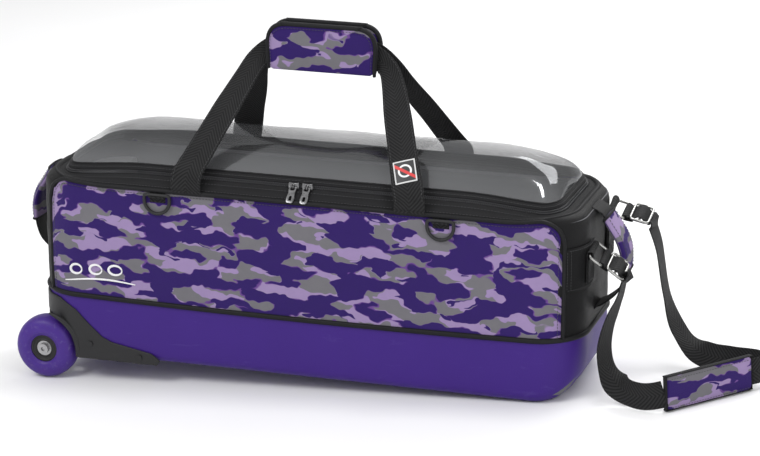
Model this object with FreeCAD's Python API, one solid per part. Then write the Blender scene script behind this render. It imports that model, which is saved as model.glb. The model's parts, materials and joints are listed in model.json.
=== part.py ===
import FreeCAD, Part
import math
import os

# Rolling bag for three bowling balls. It is modelled level, with the middle of its base at the
# origin, and then stood on the floor: on its two wheels and the far end of its base, so that it
# leans by about 3 degrees. Length along X with the wheels at -X, the decorated front at -Y, Z up.

os.makedirs("parts", exist_ok=True)
V = FreeCAD.Vector

# ---- driving dimensions, mm ----
BALL_D = 216.0                 # a full-size bowling ball
HALF_L = 400.0                 # half the body's length
HALF_W = 120.0                 # half the body's depth
CORNER = 65.0                  # plan radius of the body's corners
BASE_TOP = 91.0                # top of the coated base
WALL_TOP = 258.0               # top of the upright walls
ZIP_Z = 274.0                  # height of the zip line
ZIP_IN = 19.0                  # how far the zip line lies inside the walls' outline
LID_TOP = 290.0                # top of the lid's frame, where the window starts
DOME = 40.0                    # rise of the clear window above the frame
DOME_END = 90.0                # length over which the window comes down at each end
WALL = 3.0                     # thickness of the fabric walls
FOAM = 4.0                     # thickness of the stiffening board behind them
PANEL_HALF = 376.0             # half length of the decorated panels
NOSE_R = 55.0                  # rounding of the base's far end, seen from the side
KEEL_R = 14.0                  # rounding along the base's lower edges
WHEEL_R = 46.0
WHEEL_W = 44.0
AXLE_X = -391.0
AXLE_Z = 3.0
WHEEL_OUT = 123.0              # distance of a wheel's outer face from the middle plane
WELL_R = 51.0
BOLT_R = 4.0
BEARING_R = 11.0
BEARING_W = 7.0
STRAP_X = 163.0                # where the carry straps leave the body
STRAP_W = 50.0
STRAP_T = 2.4
ANCHOR_Y = 125.0               # fold line of a carry strap
ANCHOR_Z = 263.5
GRIP_Z = 446.0                 # middle of the carry grip
GRIP_H = 78.0
GRIP_L = 160.0
D_RING_X = 207.0
D_RING_Z = 252.0
D_RING_Y = 124.2
D_WIRE = 2.6
HINGE_Y = 99.5                 # the lid folds along this line at the back
HINGE_Z = 275.8
TOW_W = 38.0                   # webbing of the tow strap
TOW_WIRE = 2.0
FOLD_FRONT = V(406.0, -62.0, 212.0)
FOLD_BACK = V(406.0, 58.0, 238.0)
SWING_AXIS = (FOLD_BACK - FOLD_FRONT).normalize()
FRONT_DROP = 39.0              # how steeply each ring chain hangs, degrees below level
BACK_DROP = 14.0
SLIDER_FROM = 25.0             # the slider's frame lies between these distances from the fold
SLIDER_TO = 51.0

# ---- the stance: wheels and the far end of the base on one floor ----
SKIN = 0.8                     # how far the coated base lies inside the walls' outline
REST_X = HALF_L - NOSE_R
SPAN = REST_X - SKIN - AXLE_X
RISE = NOSE_R - AXLE_Z
UNEVEN = math.degrees(math.asin((NOSE_R - WHEEL_R) / math.hypot(SPAN, RISE)))
LEAN = math.degrees(math.atan2(RISE, SPAN)) - UNEVEN


def lean(shape):
    """A copy of a shape, turned from the level bag to the bag on its wheels."""
    turned = shape.copy()
    turned.rotate(V(REST_X, 0, 0), V(0, 1, 0), LEAN)
    return turned


# ---- small shape helpers ----
def box(x0, x1, y0, y1, z0, z1):
    return Part.makeBox(x1 - x0, y1 - y0, z1 - z0, V(x0, y0, z0))


def cylinder(radius, start, end):
    return Part.makeCylinder(radius, (end - start).Length, start, end - start)


def rounded_wire(x0, x1, y0, y1, radius, z):
    """Closed rounded rectangle in a level plane."""
    q = radius * (1 - math.sqrt(0.5))
    edges = [
        Part.LineSegment(V(x0 + radius, y0, z), V(x1 - radius, y0, z)),
        Part.Arc(V(x1 - radius, y0, z), V(x1 - q, y0 + q, z), V(x1, y0 + radius, z)),
        Part.LineSegment(V(x1, y0 + radius, z), V(x1, y1 - radius, z)),
        Part.Arc(V(x1, y1 - radius, z), V(x1 - q, y1 - q, z), V(x1 - radius, y1, z)),
        Part.LineSegment(V(x1 - radius, y1, z), V(x0 + radius, y1, z)),
        Part.Arc(V(x0 + radius, y1, z), V(x0 + q, y1 - q, z), V(x0, y1 - radius, z)),
        Part.LineSegment(V(x0, y1 - radius, z), V(x0, y0 + radius, z)),
        Part.Arc(V(x0, y0 + radius, z), V(x0 + q, y0 + q, z), V(x0 + radius, y0, z)),
    ]
    return Part.Wire([e.toShape() for e in edges])


def plan_wire(inset, z):
    """The body's outline, moved inwards by inset."""
    hx = HALF_L - inset
    hy = HALF_W - inset
    return rounded_wire(-hx, hx, -hy, hy, CORNER - inset, z)


def plan_block(inset, z0, z1):
    return Part.Face(plan_wire(inset, z0)).extrude(V(0, 0, z1 - z0))


def wall(outer, inner, z0, z1):
    """Upright band that follows the body's outline, between two insets."""
    return plan_block(outer, z0, z1).cut(plan_block(inner, z0 - 1, z1 + 1))


def sloping_wall(inset0, z0, inset1, z1, thick):
    """Band that leans inwards as it rises."""
    outer = Part.makeLoft([plan_wire(inset0, z0), plan_wire(inset1, z1)], True, True)
    rise = (inset1 - inset0) / (z1 - z0)
    low = plan_wire(inset0 + thick - rise, z0 - 1)
    high = plan_wire(inset1 + thick + rise, z1 + 1)
    return outer.cut(Part.makeLoft([low, high], True, True))


def side_outline(x0, x1, z0, z1, radius, y0, y1):
    """Block with a rounded-rectangle outline seen from the front, from y0 to y1."""
    flat = Part.Face(rounded_wire(x0, x1, z0, z1, radius, 0))
    flat.rotate(V(0, 0, 0), V(1, 0, 0), 90)
    flat.translate(V(0, y0, 0))
    return flat.extrude(V(0, y1 - y0, 0))


def side_polygon(points, y0, y1):
    """Block with a straight-sided outline seen from the front."""
    ring = [V(x, y0, z) for x, z in points]
    return Part.Face(Part.makePolygon(ring + [ring[0]])).extrude(V(0, y1 - y0, 0))


def end_polygon(points, x0, x1):
    """Block with a straight-sided outline seen from the end."""
    ring = [V(x0, y, z) for y, z in points]
    return Part.Face(Part.makePolygon(ring + [ring[0]])).extrude(V(x1 - x0, 0, 0))


def flip_y(shape):
    return shape.mirror(V(0, 0, 0), V(0, 1, 0))


def flip_x(shape):
    return shape.mirror(V(0, 0, 0), V(1, 0, 0))


def rod_path(points, radii, wire_r):
    """Round rod along straight runs joined by tangent arcs; radii has one per inner point."""
    edges = []
    last = points[0]
    for i in range(1, len(points) - 1):
        a = (points[i - 1] - points[i]).normalize()
        b = (points[i + 1] - points[i]).normalize()
        half = a.getAngle(b) / 2
        trim = radii[i - 1] / math.tan(half)
        start = points[i] + a * trim
        end = points[i] + b * trim
        to_centre = (a + b).normalize()
        centre = points[i] + to_centre * (radii[i - 1] / math.sin(half))
        edges.append(Part.LineSegment(last, start).toShape())
        edges.append(Part.Arc(start, centre - to_centre * radii[i - 1], end).toShape())
        last = end
    edges.append(Part.LineSegment(last, points[-1]).toShape())
    path = Part.Wire(edges)
    return swept_rod(path, points[0], points[1] - points[0], wire_r)


def swept_rod(path, start, direction, wire_r):
    profile = Part.Wire([Part.makeCircle(wire_r, start, direction)])
    return path.makePipeShell([profile], True, True)


def rod_loop(x0, x1, y0, y1, radius, wire_r):
    """Closed rod in a level plane, a rounded rectangle along its centre line."""
    path = rounded_wire(x0, x1, y0, y1, radius, 0)
    return swept_rod(path, V(x0 + radius, y0, 0), V(1, 0, 0), wire_r)


# ---- base: coated tray, board, wheel housing ----
def tray_block(inset, low):
    """The base's outside, or its inside when inset: a far end that rounds up from the floor."""
    high = 4 * BASE_TOP
    radius = NOSE_R - low
    foot = side_outline(-HALF_L - NOSE_R, HALF_L - inset, low, high, radius, -HALF_W, HALF_W)
    edge = Part.Face(rounded_wire(-HALF_W + inset, HALF_W - inset, low, high, KEEL_R, 0))
    edge.rotate(V(0, 0, 0), V(1, 0, 0), 90)
    edge.rotate(V(0, 0, 0), V(0, 0, 1), 90)
    edge.translate(V(-HALF_L, 0, 0))
    return plan_block(inset, 0, BASE_TOP).common(foot).common(edge.extrude(V(2 * HALF_L, 0, 0)))


def wheel_well(radius, outer_y, inner_y):
    """Round space over the front wheel, kept inside the body's own outline."""
    drum = cylinder(radius, V(AXLE_X, -outer_y, AXLE_Z), V(AXLE_X, -inner_y, AXLE_Z))
    return drum.common(plan_block(-2.6, -4, BASE_TOP - 2))


WELL_FACE = WHEEL_OUT - WHEEL_W - 3.0   # y of the wall that carries the axle


def wheel_housing():
    cheek = [(-410, -4), (-410, 86), (-364, 84), (-338, 70), (-316, 48), (-298, 32), (-282, 25), (-222, 14),
             (-209, 4), (-214, -4)]
    skirt = wall(-2.6, 0.7, -4, 86).common(side_polygon(cheek, -130, 130))
    boss = cylinder(13.0, V(AXLE_X, -WELL_FACE + 0.5, AXLE_Z), V(AXLE_X, -WELL_FACE + 16, AXLE_Z))
    boss = boss.common(plan_block(3.0, -4, BASE_TOP))
    shape = skirt.fuse([wheel_well(WELL_R + 3, 130, WELL_FACE - 3), boss])
    shape = shape.fuse([flip_y(wheel_well(WELL_R + 3, 130, WELL_FACE - 3)), flip_y(boss)])
    space = cylinder(WELL_R, V(AXLE_X, -140, AXLE_Z), V(AXLE_X, -WELL_FACE, AXLE_Z))
    bolt_hole = cylinder(BOLT_R + 0.05, V(AXLE_X, -200, AXLE_Z), V(AXLE_X, 200, AXLE_Z))
    shape = shape.cut(space).cut(flip_y(space)).cut(bolt_hole)
    return [shape.removeSplitter()]


def base_tray():
    hollow = tray_block(3.6, 2.8).fuse(plan_block(3.6, BASE_TOP - 20, BASE_TOP + 1))
    shape = tray_block(SKIN, 0.0).cut(hollow)
    for side in (1, -1):
        outside = V(AXLE_X, -140 * side, AXLE_Z)
        for radius, reach in ((WELL_R + 3.2, WELL_FACE - 4), (14.5, WELL_FACE - 30)):
            shape = shape.cut(cylinder(radius, outside, V(AXLE_X, -reach * side, AXLE_Z)))
    return [shape]


def base_board():
    return [plan_block(13.0, 4.2, 10.0).common(box(-325, REST_X - 8, -150, 150, 0, 20))]


def board_rivets():
    rivets = []
    for x in (-290.0, -145.0, 0.0, 145.0, 290.0):
        for y in (-95.0, 95.0):
            rivets.append(cylinder(5.0, V(x, y, 10.2), V(x, y, 12.0)))
    return rivets


def housing_screws():
    """Pan-head screws that hold the wheel housing's two cheeks to the base."""
    screws = []
    for x, z in ((-316.0, 20.0), (-240.0, 6.5)):
        for side in (1, -1):
            y = side * (HALF_W + 2.7)
            screws.append(cylinder(4.0, V(x, y, z), V(x, y + side * 1.6, z)))
    return screws


# ---- wheels, one set per side ----
def wheel_set(side):
    """Tyre, core, two bearings, spacer, bolt and nut of one wheel."""
    out = WHEEL_OUT
    inn = WHEEL_OUT - WHEEL_W

    def disc(radius, y0, y1):
        return cylinder(radius, V(AXLE_X, -y0 * side, AXLE_Z), V(AXLE_X, -y1 * side, AXLE_Z))

    tyre = disc(WHEEL_R, out - 1, inn)
    rims = [e for e in tyre.Edges if isinstance(e.Curve, Part.Circle)]
    tyre = tyre.makeFillet(15.0, rims)
    tyre = tyre.cut(disc(20.0, out + 1, inn - 1))
    core = disc(20.0, out - 5, inn + 2).cut(disc(BEARING_R + 0.02, out + 1, inn - 1))
    step = disc(20.0, out - 5 - 3 - BEARING_W, inn + 2 + 1 + BEARING_W).cut(disc(8.0, out, inn))
    core = core.fuse(step)
    bearings = []
    for y0 in (out - 6.5, inn + 3 + BEARING_W):
        ring = disc(BEARING_R, y0, y0 - BEARING_W)
        bearings.append(ring.cut(disc(BOLT_R + 0.05, y0 + 1, y0 - BEARING_W - 1)))
    gap = 0.25
    spacer = disc(6.5, out - 6.5 - BEARING_W - gap, inn + 3 + BEARING_W + gap)
    spacer = spacer.cut(disc(BOLT_R, out, inn))
    head = disc(7.5, out - 1.5, out - 6.2).cut(disc(3.2, out, out - 4.2))
    bolt = head.fuse(disc(BOLT_R, out - 5, WELL_FACE - 26)).removeSplitter()
    nut = disc(7.0, WELL_FACE - 16.4, WELL_FACE - 22.4).cut(disc(BOLT_R, out, 0))
    washer = disc(9.0, inn + 2.8, WELL_FACE + 0.2).cut(disc(BOLT_R, out, 0))
    return {"tyre": [tyre], "core": [core], "bearings": bearings, "spacers": [spacer],
            "bolts": [bolt], "nuts": [nut], "washers": [washer]}


# ---- walls ----
def panel_outline(grow, y0, y1):
    """Front view of a decorated panel, with rounded upper corners; grow moves the outline out."""
    high = WALL_TOP + grow
    return side_outline(-PANEL_HALF - grow, PANEL_HALF + grow, -200.0, high, 32.0 + grow, y0, y1)


def walls():
    band = wall(0.0, WALL, BASE_TOP + 0.3, WALL_TOP)
    front = band.common(panel_outline(0.0, -130, -60))
    back = flip_y(front)
    rest = band.cut(panel_outline(0.0, -130, -60)).cut(flip_y(panel_outline(0.0, -130, -60)))
    ends = sorted(rest.Solids, key=lambda s: s.CenterOfMass.x)
    left = [s for s in ends if s.CenterOfMass.x < 0]
    right = [s for s in ends if s.CenterOfMass.x > 0]
    return {"front_panel": [front], "back_panel": [back], "end_panel_left": left, "end_panel_right": right}


def stiffeners():
    """Foam-covered boards behind the walls, one per side."""
    band = wall(WALL + 0.3, WALL + FOAM, 12.0, WALL_TOP - 1)
    band = band.cut(plan_block(-5.0, 0.0, 62.0).common(box(-420, -325, -150, 150, 0, 62)))
    low = tray_block(3.8, 3.0).fuse(plan_block(3.8, BASE_TOP - 2, BASE_TOP + 0.3))
    band = band.common(low.fuse(plan_block(0.0, BASE_TOP + 0.3, WALL_TOP)))
    long_part = box(-330, 330, -150, 150, 0, 400)
    front = band.common(long_part).common(box(-400, 400, -150, 0, 0, 400))
    ends = band.cut(long_part)
    left = ends.common(box(-420, 0, -150, 150, 0, 400))
    right = ends.common(box(0, 420, -150, 150, 0, 400))
    return {"stiffener_front": [front], "stiffener_back": [flip_y(front)],
            "stiffener_left": [left], "stiffener_right": [right]}


def ball_cradle(place):
    """Foam block with a round seat for one ball; place is -1, 0 or 1 along the bag."""
    x = place * (BALL_D + 2.0)
    block = box(x - BALL_D / 2, x + BALL_D / 2, -100, 100, 12.4, 58)
    seat = Part.makeSphere(BALL_D / 2 + 1.0, V(x, 0, 14.0 + BALL_D / 2))
    return block.cut(seat)


def end_pad(side):
    """Foam block that fills the body's end beside the outer ball."""
    low = 64.0 if side < 0 else 16.0
    block = plan_block(WALL + FOAM + 2.2, low, 236.0)
    keep = box(3 * BALL_D / 2 + 6, HALF_L, -150, 150, 0, 300)
    if side > 0:
        keep = keep.common(tray_block(8.0, 7.2).fuse(plan_block(0, BASE_TOP - 2, 300)))
    ball = Part.makeSphere(BALL_D / 2 + 3.0, V(BALL_D + 2.0, 0, 14.0 + BALL_D / 2))
    keep = keep.cut(ball)
    if side < 0:
        keep = flip_x(keep)
    return [block.common(keep)]


def lining():
    """Thin grey liner over the boards, open at the top."""
    return [wall(WALL + FOAM + 0.3, WALL + FOAM + 1.6, BASE_TOP + 4, WALL_TOP - 4)]


# ---- raised piping ----
def base_piping():
    return [wall(-2.5, -0.1, BASE_TOP - 1.5, BASE_TOP + 3.5)]


def panel_piping(side):
    rim = panel_outline(2.5, -130, -60).cut(panel_outline(-2.5, -131, -59))
    bead = wall(-2.5, -0.1, BASE_TOP + 3.7, WALL_TOP + 3.0).common(rim)
    return bead if side > 0 else flip_y(bead)


# ---- zip, lid and window ----
def zip_band():
    return [sloping_wall(0.6, WALL_TOP + 0.3, ZIP_IN, ZIP_Z, 3.0)]


def zip_reach():
    """The zip runs along the front and round both ends, and stops before the back corners."""
    return box(-HALF_L, HALF_L, -HALF_W, 62.0, 0, 400)


def lower_teeth():
    return [wall(ZIP_IN - 1.5, ZIP_IN + 1.6, ZIP_Z + 0.1, ZIP_Z + 2.3).common(zip_reach())]


def upper_teeth():
    return [wall(ZIP_IN - 0.7, ZIP_IN + 2.4, ZIP_Z + 2.7, ZIP_Z + 4.9).common(zip_reach())]


def lid_frame():
    return [sloping_wall(ZIP_IN + 1.5, ZIP_Z + 5.1, ZIP_IN + 8.5, LID_TOP, 3.4)]


def dome_block(inset, rise, z0):
    """Closed block under the window's curve, built up from rounded level outlines."""
    hy = HALF_W - inset
    bow = (hy * hy + rise * rise) / (2 * rise)
    levels = []
    for share in (0.0, 0.2, 0.45, 0.7, 0.87, 0.96, 0.995):
        half = math.sqrt(bow ** 2 - (bow - rise + share * rise) ** 2)
        end = HALF_L - inset - DOME_END * (1 - math.sqrt(1 - share ** 2))
        radius = min(CORNER - inset, 0.95 * half)
        levels.append(rounded_wire(-end, end, -half, half, radius, z0 + share * rise))
    return Part.makeLoft(levels, True, True)


def lid_window():
    inset = ZIP_IN + 8.8
    low = LID_TOP + 0.2
    return [dome_block(inset, DOME, low).cut(dome_block(inset + 2.0, DOME - 1.0, low - 1.0))]


def zip_slider(x):
    """Slider body with its raised bridge; it rides just outside the teeth."""
    face = HALF_W - ZIP_IN + 5.1
    plate = box(x - 7, x + 7, -face, -face + 3.2, PULL_Z - 2.2, PULL_Z + 5.5)
    edges = [e for e in plate.Edges if abs(e.tangentAt(e.FirstParameter).y) > 0.9]
    plate = plate.makeFillet(2.5, edges)
    bridge = box(x - 1.6, x + 1.6, -face - 5.1, -face + 0.1, PULL_Z - 2.2, PULL_Z + 3.2)
    slot = box(x - 2.0, x + 2.0, -face - 3.1, -face, PULL_Z - 1.2, PULL_Z + 1.6)
    return [plate.fuse(bridge).cut(slot).removeSplitter()]


PULL_Y = HALF_W - ZIP_IN + 6.7
PULL_Z = ZIP_Z + 2.5
PULL_TILT = 46.0
PULL_BAR = 0.9                 # radius of the bar that turns under a slider's bridge


def zip_pull(x):
    """Pull tab hung on a slider's bridge, leaning out over the piping."""
    tab = box(x - 5.5, x + 5.5, -0.8, 0.8, -25.0, 0.0)
    tab = tab.cut(box(x - 3.4, x + 3.4, -2, 2, -5.8, 1.0))
    tab = tab.cut(box(x - 2.0, x + 2.0, -2, 2, -21.5, -13.0))
    tab = tab.fuse(cylinder(PULL_BAR, V(x - 5.5, 0, 0), V(x + 5.5, 0, 0))).removeSplitter()
    tab.translate(V(0, -PULL_Y, PULL_Z))
    tab.rotate(V(0, -PULL_Y, PULL_Z), V(1, 0, 0), -PULL_TILT)
    return [tab]


# ---- rings on the front ----
def d_ring(x):
    """D-shaped ring: a straight bar on top and a round foot."""
    r = 19.0
    drop = 8.0
    top = D_RING_Z
    y = -D_RING_Y
    bar = cylinder(D_WIRE, V(x - r, y, top), V(x + r, y, top))
    legs = [cylinder(D_WIRE, V(x + s * r, y, top), V(x + s * r, y, top - drop)) for s in (-1, 1)]
    bow = Part.makeTorus(r, D_WIRE, V(x, y, top - drop), V(0, 1, 0))
    bow = bow.common(box(x - 40, x + 40, y - 10, y + 10, top - drop - 40, top - drop))
    corners = [Part.makeSphere(D_WIRE, V(x + s * r, y, top)) for s in (-1, 1)]
    return [bar.fuse(legs + [bow] + corners).removeSplitter()]


def d_ring_tab(x):
    """Webbing loop sewn to the panel that holds the ring's bar."""
    y = -D_RING_Y
    loop = cylinder(D_WIRE + 1.9, V(x - 12, y, D_RING_Z), V(x + 12, y, D_RING_Z))
    tail = box(x - 12, x + 12, y + D_WIRE + 0.1, -HALF_W - 0.1, D_RING_Z - 12, D_RING_Z + 3)
    hole = cylinder(D_WIRE + 0.1, V(x - 20, y, D_RING_Z), V(x + 20, y, D_RING_Z))
    shape = loop.fuse(tail).cut(hole)
    return shape.common(box(x - 20, x + 20, y - 10, -HALF_W - 0.1, D_RING_Z - 20, WALL_TOP - 2.7))


# ---- carry handle: two straps, each with half of the grip ----
LEAN_START = ANCHOR_Z + 24.0
GRIP_FOOT = GRIP_Z - GRIP_H / 2 + 6.0
STRAP_TOP_Y = 5.2


def carry_sheet():
    """The front strap seen from the end: upright, then leaning in, then upright in the grip."""
    t = STRAP_T / 2
    line = [(-ANCHOR_Y, ANCHOR_Z), (-ANCHOR_Y, LEAN_START), (-STRAP_TOP_Y, GRIP_FOOT),
            (-STRAP_TOP_Y, GRIP_Z + 18)]
    outer = [(y - t, z) for y, z in line]
    inner = [(y + t, z) for y, z in reversed(line)]
    outer[2] = (line[2][0] - t, line[2][1] + t)
    inner[2] = (line[1][0] + t, line[1][1] - t)
    return end_polygon(outer + inner, -300, 300)


def carry_strap():
    """One length of webbing up one side of the bag, through the grip and down again."""
    w = STRAP_W / 2
    reach = GRIP_L / 2 - 6
    foot = 20.0
    left = [(-STRAP_X - w, ANCHOR_Z), (-STRAP_X + w, ANCHOR_Z), (-reach + 34, GRIP_Z - 18),
            (reach - 34, GRIP_Z - 18), (STRAP_X - w, ANCHOR_Z), (STRAP_X + w, ANCHOR_Z),
            (reach + 12, GRIP_Z - 18), (reach, GRIP_Z + 18), (-reach, GRIP_Z + 18),
            (-reach - 12, GRIP_Z - 18)]
    return [carry_sheet().common(side_polygon(left, -HALF_W - foot, 0))]


def grip_pad():
    """Padded half of the grip, with lips along its edges that meet the other half's."""
    x0 = -GRIP_L / 2
    x1 = GRIP_L / 2
    low = GRIP_Z - GRIP_H / 2
    high = GRIP_Z + GRIP_H / 2
    block = side_outline(x0, x1, low, high, 12.0, -17.0, -0.3)
    block = block.cut(box(x0 - 1, x1 + 1, -8.2, 1, low + 7, high - 12))
    for x in (x0, x1):
        block = block.cut(box(x - 40, x + 40, -14.5, 1, low - 1, low + 8))
    return [block]


def closure_tape():
    """Hook or loop tape on a half of the grip, sewn over the strap."""
    return [box(-66, 66, -3.2, -0.4, GRIP_Z - 17, GRIP_Z + 17)]


def label_patch():
    """Small stitched patch on the front strap's right leg."""
    slope = (STRAP_X - (GRIP_L / 2 - 11)) / (GRIP_Z - 18 - ANCHOR_Z)
    z0 = LEAN_START + 4
    z1 = z0 + 34
    rise = (GRIP_FOOT - LEAN_START) / (ANCHOR_Y - STRAP_TOP_Y)
    mid = STRAP_X - slope * ((z0 + z1) / 2 - ANCHOR_Z)
    y0 = -ANCHOR_Y + (z0 - LEAN_START) / rise
    y1 = -ANCHOR_Y + (z1 - LEAN_START) / rise
    t = STRAP_T / 2 + 0.5
    near = [(y0 - t - 1.0, z0 + 0.4), (y1 - t - 1.0, z1 + 0.4)]
    far = [(y1 - t - 2.4, z1 + 1.6), (y0 - t - 2.4, z0 + 1.6)]
    sheet = near + far
    return [end_polygon(sheet, mid - 17, mid + 17)]


# ---- end handles ----
def end_handle_line():
    """Centre line of the far end's handle, seen from the front: out, down and back in."""
    x = HALF_L
    return [(x + 1.5, 246.0), (x + 12, 242.0), (x + 30, 218.0), (x + 39, 194.0), (x + 40, 166.0),
            (x + 32, 140.0), (x + 12, 121.0), (x + 1.5, 118.0)]


def band_along(line, thick, half_width):
    """Bent flat band: the line's plan shape made thick, as wide as given along Y."""
    outer = []
    inner = []
    for i, (x, z) in enumerate(line):
        ax, az = line[max(i - 1, 0)]
        bx, bz = line[min(i + 1, len(line) - 1)]
        size = math.hypot(bx - ax, bz - az)
        nx = -(bz - az) / size * thick / 2
        nz = (bx - ax) / size * thick / 2
        outer.append((x + nx, z + nz))
        inner.append((x - nx, z - nz))
    return side_polygon(outer + inner[::-1], -half_width, half_width)


def end_handle(side):
    shape = band_along(end_handle_line(), 3.0, 22.0)
    shape = shape.cut(plan_block(-0.2, 0, 400))
    return [shape if side > 0 else flip_x(shape)]


def end_handle_sleeve(side):
    """Padded sleeve around the upper stretch of an end handle."""
    line = end_handle_line()[1:5]
    shape = band_along(line, 11.0, 27.0).cut(band_along(end_handle_line(), 3.8, 22.5))
    return [shape if side > 0 else flip_x(shape)]


# ---- tow strap: tabs on the body, then the swinging chain of rings, sliders, straps and grip ----
def tow_tab(fold):
    """Webbing tab sewn flat to the end of the body, folded over the bar of a ring."""
    w = TOW_W / 2 - 1
    x = HALF_L + 0.6
    half = SWING_AXIS * w
    loop = cylinder(TOW_WIRE + 2.4, fold - half, fold + half)
    hole = cylinder(TOW_WIRE + 0.1, fold - SWING_AXIS * TOW_W, fold + SWING_AXIS * TOW_W)
    plate = box(x, x + 3.0, fold.y - w, fold.y + w, 165.0, fold.z + 1)
    return loop.fuse(plate).cut(hole).removeSplitter()


def swing_frame(fold, drop):
    """Placement of a ring chain: its own Y lies on the swing axis, its own X drops away."""
    skew = FreeCAD.Rotation(V(0, 1, 0), SWING_AXIS)
    return FreeCAD.Placement(fold, skew.multiply(FreeCAD.Rotation(V(0, 1, 0), drop)))


def tow_ring(fold, drop):
    ring = rod_loop(0, 20, -TOW_W / 2 - 2.5, TOW_W / 2 + 2.5, 4.0, TOW_WIRE)
    ring.Placement = swing_frame(fold, drop)
    return [ring]


def tow_slider(fold, drop):
    """Tri-glide: an outer frame with a middle bar."""
    frame = rod_loop(SLIDER_FROM, SLIDER_TO, -TOW_W / 2 - 3, TOW_W / 2 + 3, 5.0, TOW_WIRE)
    middle = (SLIDER_FROM + SLIDER_TO) / 2
    bar = cylinder(TOW_WIRE, V(middle, -TOW_W / 2 - 3, 0), V(middle, TOW_W / 2 + 3, 0))
    shape = frame.fuse(bar)
    shape.Placement = swing_frame(fold, drop)
    return [shape]


# Routes of the two branches, on the standing bag: from a slider down to the grip on the floor.
FRONT_ROUTE = [V(461, -63, 168), V(457, -65, 148), V(446, -68, 124), V(436, -73, 96), V(432, -80, 68),
               V(439, -89, 42), V(458, -101, 23), V(484, -117, 19), V(508, -123, 21), V(525, -121, 26)]
BACK_ROUTE = [V(475, 57, 211), V(483, 59, 186), V(486, 61, 154), V(489, 62, 120), V(496, 60, 88),
              V(508, 54, 60), V(526, 44, 40), V(550, 33, 30), V(580, 26, 28), V(612, 24, 28),
              V(636, 16, 28), V(640, -6, 27), V(623, -15, 26)]
GRIP_FROM = V(525, -121, 26)
GRIP_TO = V(623, -15, 26)


def route_radii(points):
    """Bend radius at each inner point of a route."""
    radii = []
    for i in range(1, len(points) - 1):
        a = points[i - 1] - points[i]
        b = points[i + 1] - points[i]
        turn = math.pi - a.getAngle(b)
        radii.append(0.45 * min(a.Length, b.Length) / math.tan(turn / 2))
    return radii


def tow_branch(route):
    return [rod_path(route, route_radii(route), 4.0)]


def tow_grip():
    """Padded sleeve lying on its edge on the floor."""
    along = GRIP_TO - GRIP_FROM
    length = along.Length
    block = side_outline(0, length, -25.5, 25.5, 5.0, -6.5, 6.5)
    turn = math.degrees(math.atan2(along.y, along.x))
    block.rotate(V(0, 0, 0), V(0, 0, 1), turn)
    block.translate(GRIP_FROM)
    return block


# ---- all nodes: level pieces first, then those already placed on the floor ----
def level_nodes():
    nodes = {
        "base_tray": base_tray(), "base_board": base_board(), "board_rivets": board_rivets(),
        "wheel_housing": wheel_housing(), "housing_screws": housing_screws(), "lining": lining(),
        "base_piping": base_piping(), "panel_piping": [panel_piping(1), panel_piping(-1)],
        "zip_band": zip_band(), "zip_teeth_lower": lower_teeth(), "zip_teeth_upper": upper_teeth(),
        "lid_frame": lid_frame(), "lid_window": lid_window(), "label_patch": label_patch(),
        "carry_strap_front": carry_strap(), "carry_strap_back": [flip_y(s) for s in carry_strap()],
        "grip_pad_front": grip_pad(), "grip_pad_back": [flip_y(s) for s in grip_pad()],
        "grip_hook_tape": closure_tape(), "grip_loop_tape": [flip_y(s) for s in closure_tape()],
    }
    nodes.update(walls())
    nodes.update(stiffeners())
    nodes["ball_cradles"] = [ball_cradle(place) for place in (-1, 0, 1)]
    nodes["d_ring_tabs"] = [d_ring_tab(side * D_RING_X) for side in (-1, 1)]
    nodes["tow_tabs"] = [tow_tab(fold) for fold in (FOLD_FRONT, FOLD_BACK)]
    for name, side in (("left", -1), ("right", 1)):
        nodes["end_pad_" + name] = end_pad(side)
        nodes["end_handle_" + name] = end_handle(side)
        nodes["end_sleeve_" + name] = end_handle_sleeve(side)
        nodes["d_ring_" + name] = d_ring(side * D_RING_X)
        nodes["zip_slider_" + name] = zip_slider(side * 10.0)
        nodes["zip_pull_" + name] = zip_pull(side * 10.0)
    for name, side in (("front", 1), ("back", -1)):
        for piece, solids in wheel_set(side).items():
            shared = piece in ("spacers", "bolts", "nuts", "washers")
            key = "wheel_" + piece if shared else "wheel_" + piece + "_" + name
            nodes[key] = nodes.get(key, []) + solids
    for name, fold, drop in (("front", FOLD_FRONT, FRONT_DROP), ("back", FOLD_BACK, BACK_DROP)):
        nodes["tow_ring_" + name] = tow_ring(fold, drop)
        nodes["tow_slider_" + name] = tow_slider(fold, drop)
    return nodes


def floor_nodes():
    for name, route in (("front", FRONT_ROUTE), ("back", BACK_ROUTE)):
        print("tow strap", name, "bend radii", [round(r, 1) for r in route_radii(route)])
    front = tow_branch(FRONT_ROUTE)
    back = tow_branch(BACK_ROUTE)
    return {"tow_strap_front": front, "tow_strap_back": back, "tow_grip": [tow_grip().cut(front + back)]}


def main():
    level = level_nodes()
    placed = {name: [lean(s) for s in solids] for name, solids in level.items()}
    bounds = FreeCAD.BoundBox()
    for solids in placed.values():
        for s in solids:
            bounds.add(s.optimalBoundingBox(False))
    placed.update(floor_nodes())
    shift = V(-bounds.Center.x, -bounds.Center.y, -bounds.ZMin)
    print("bounds", bounds, "shift", shift, "lean", LEAN)
    for name, solids in placed.items():
        shape = solids[0] if len(solids) == 1 else Part.makeCompound(solids)
        shape.translate(shift)
        shape.exportStep("parts/" + name + ".step")
        bad = [not s.isValid() for s in shape.Solids]
        print(name, len(shape.Solids), round(shape.Volume), "INVALID" if any(bad) else "")


main()
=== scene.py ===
import bmesh
import bpy
import json
import math
import random
from mathutils import Matrix, Vector, noise


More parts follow.
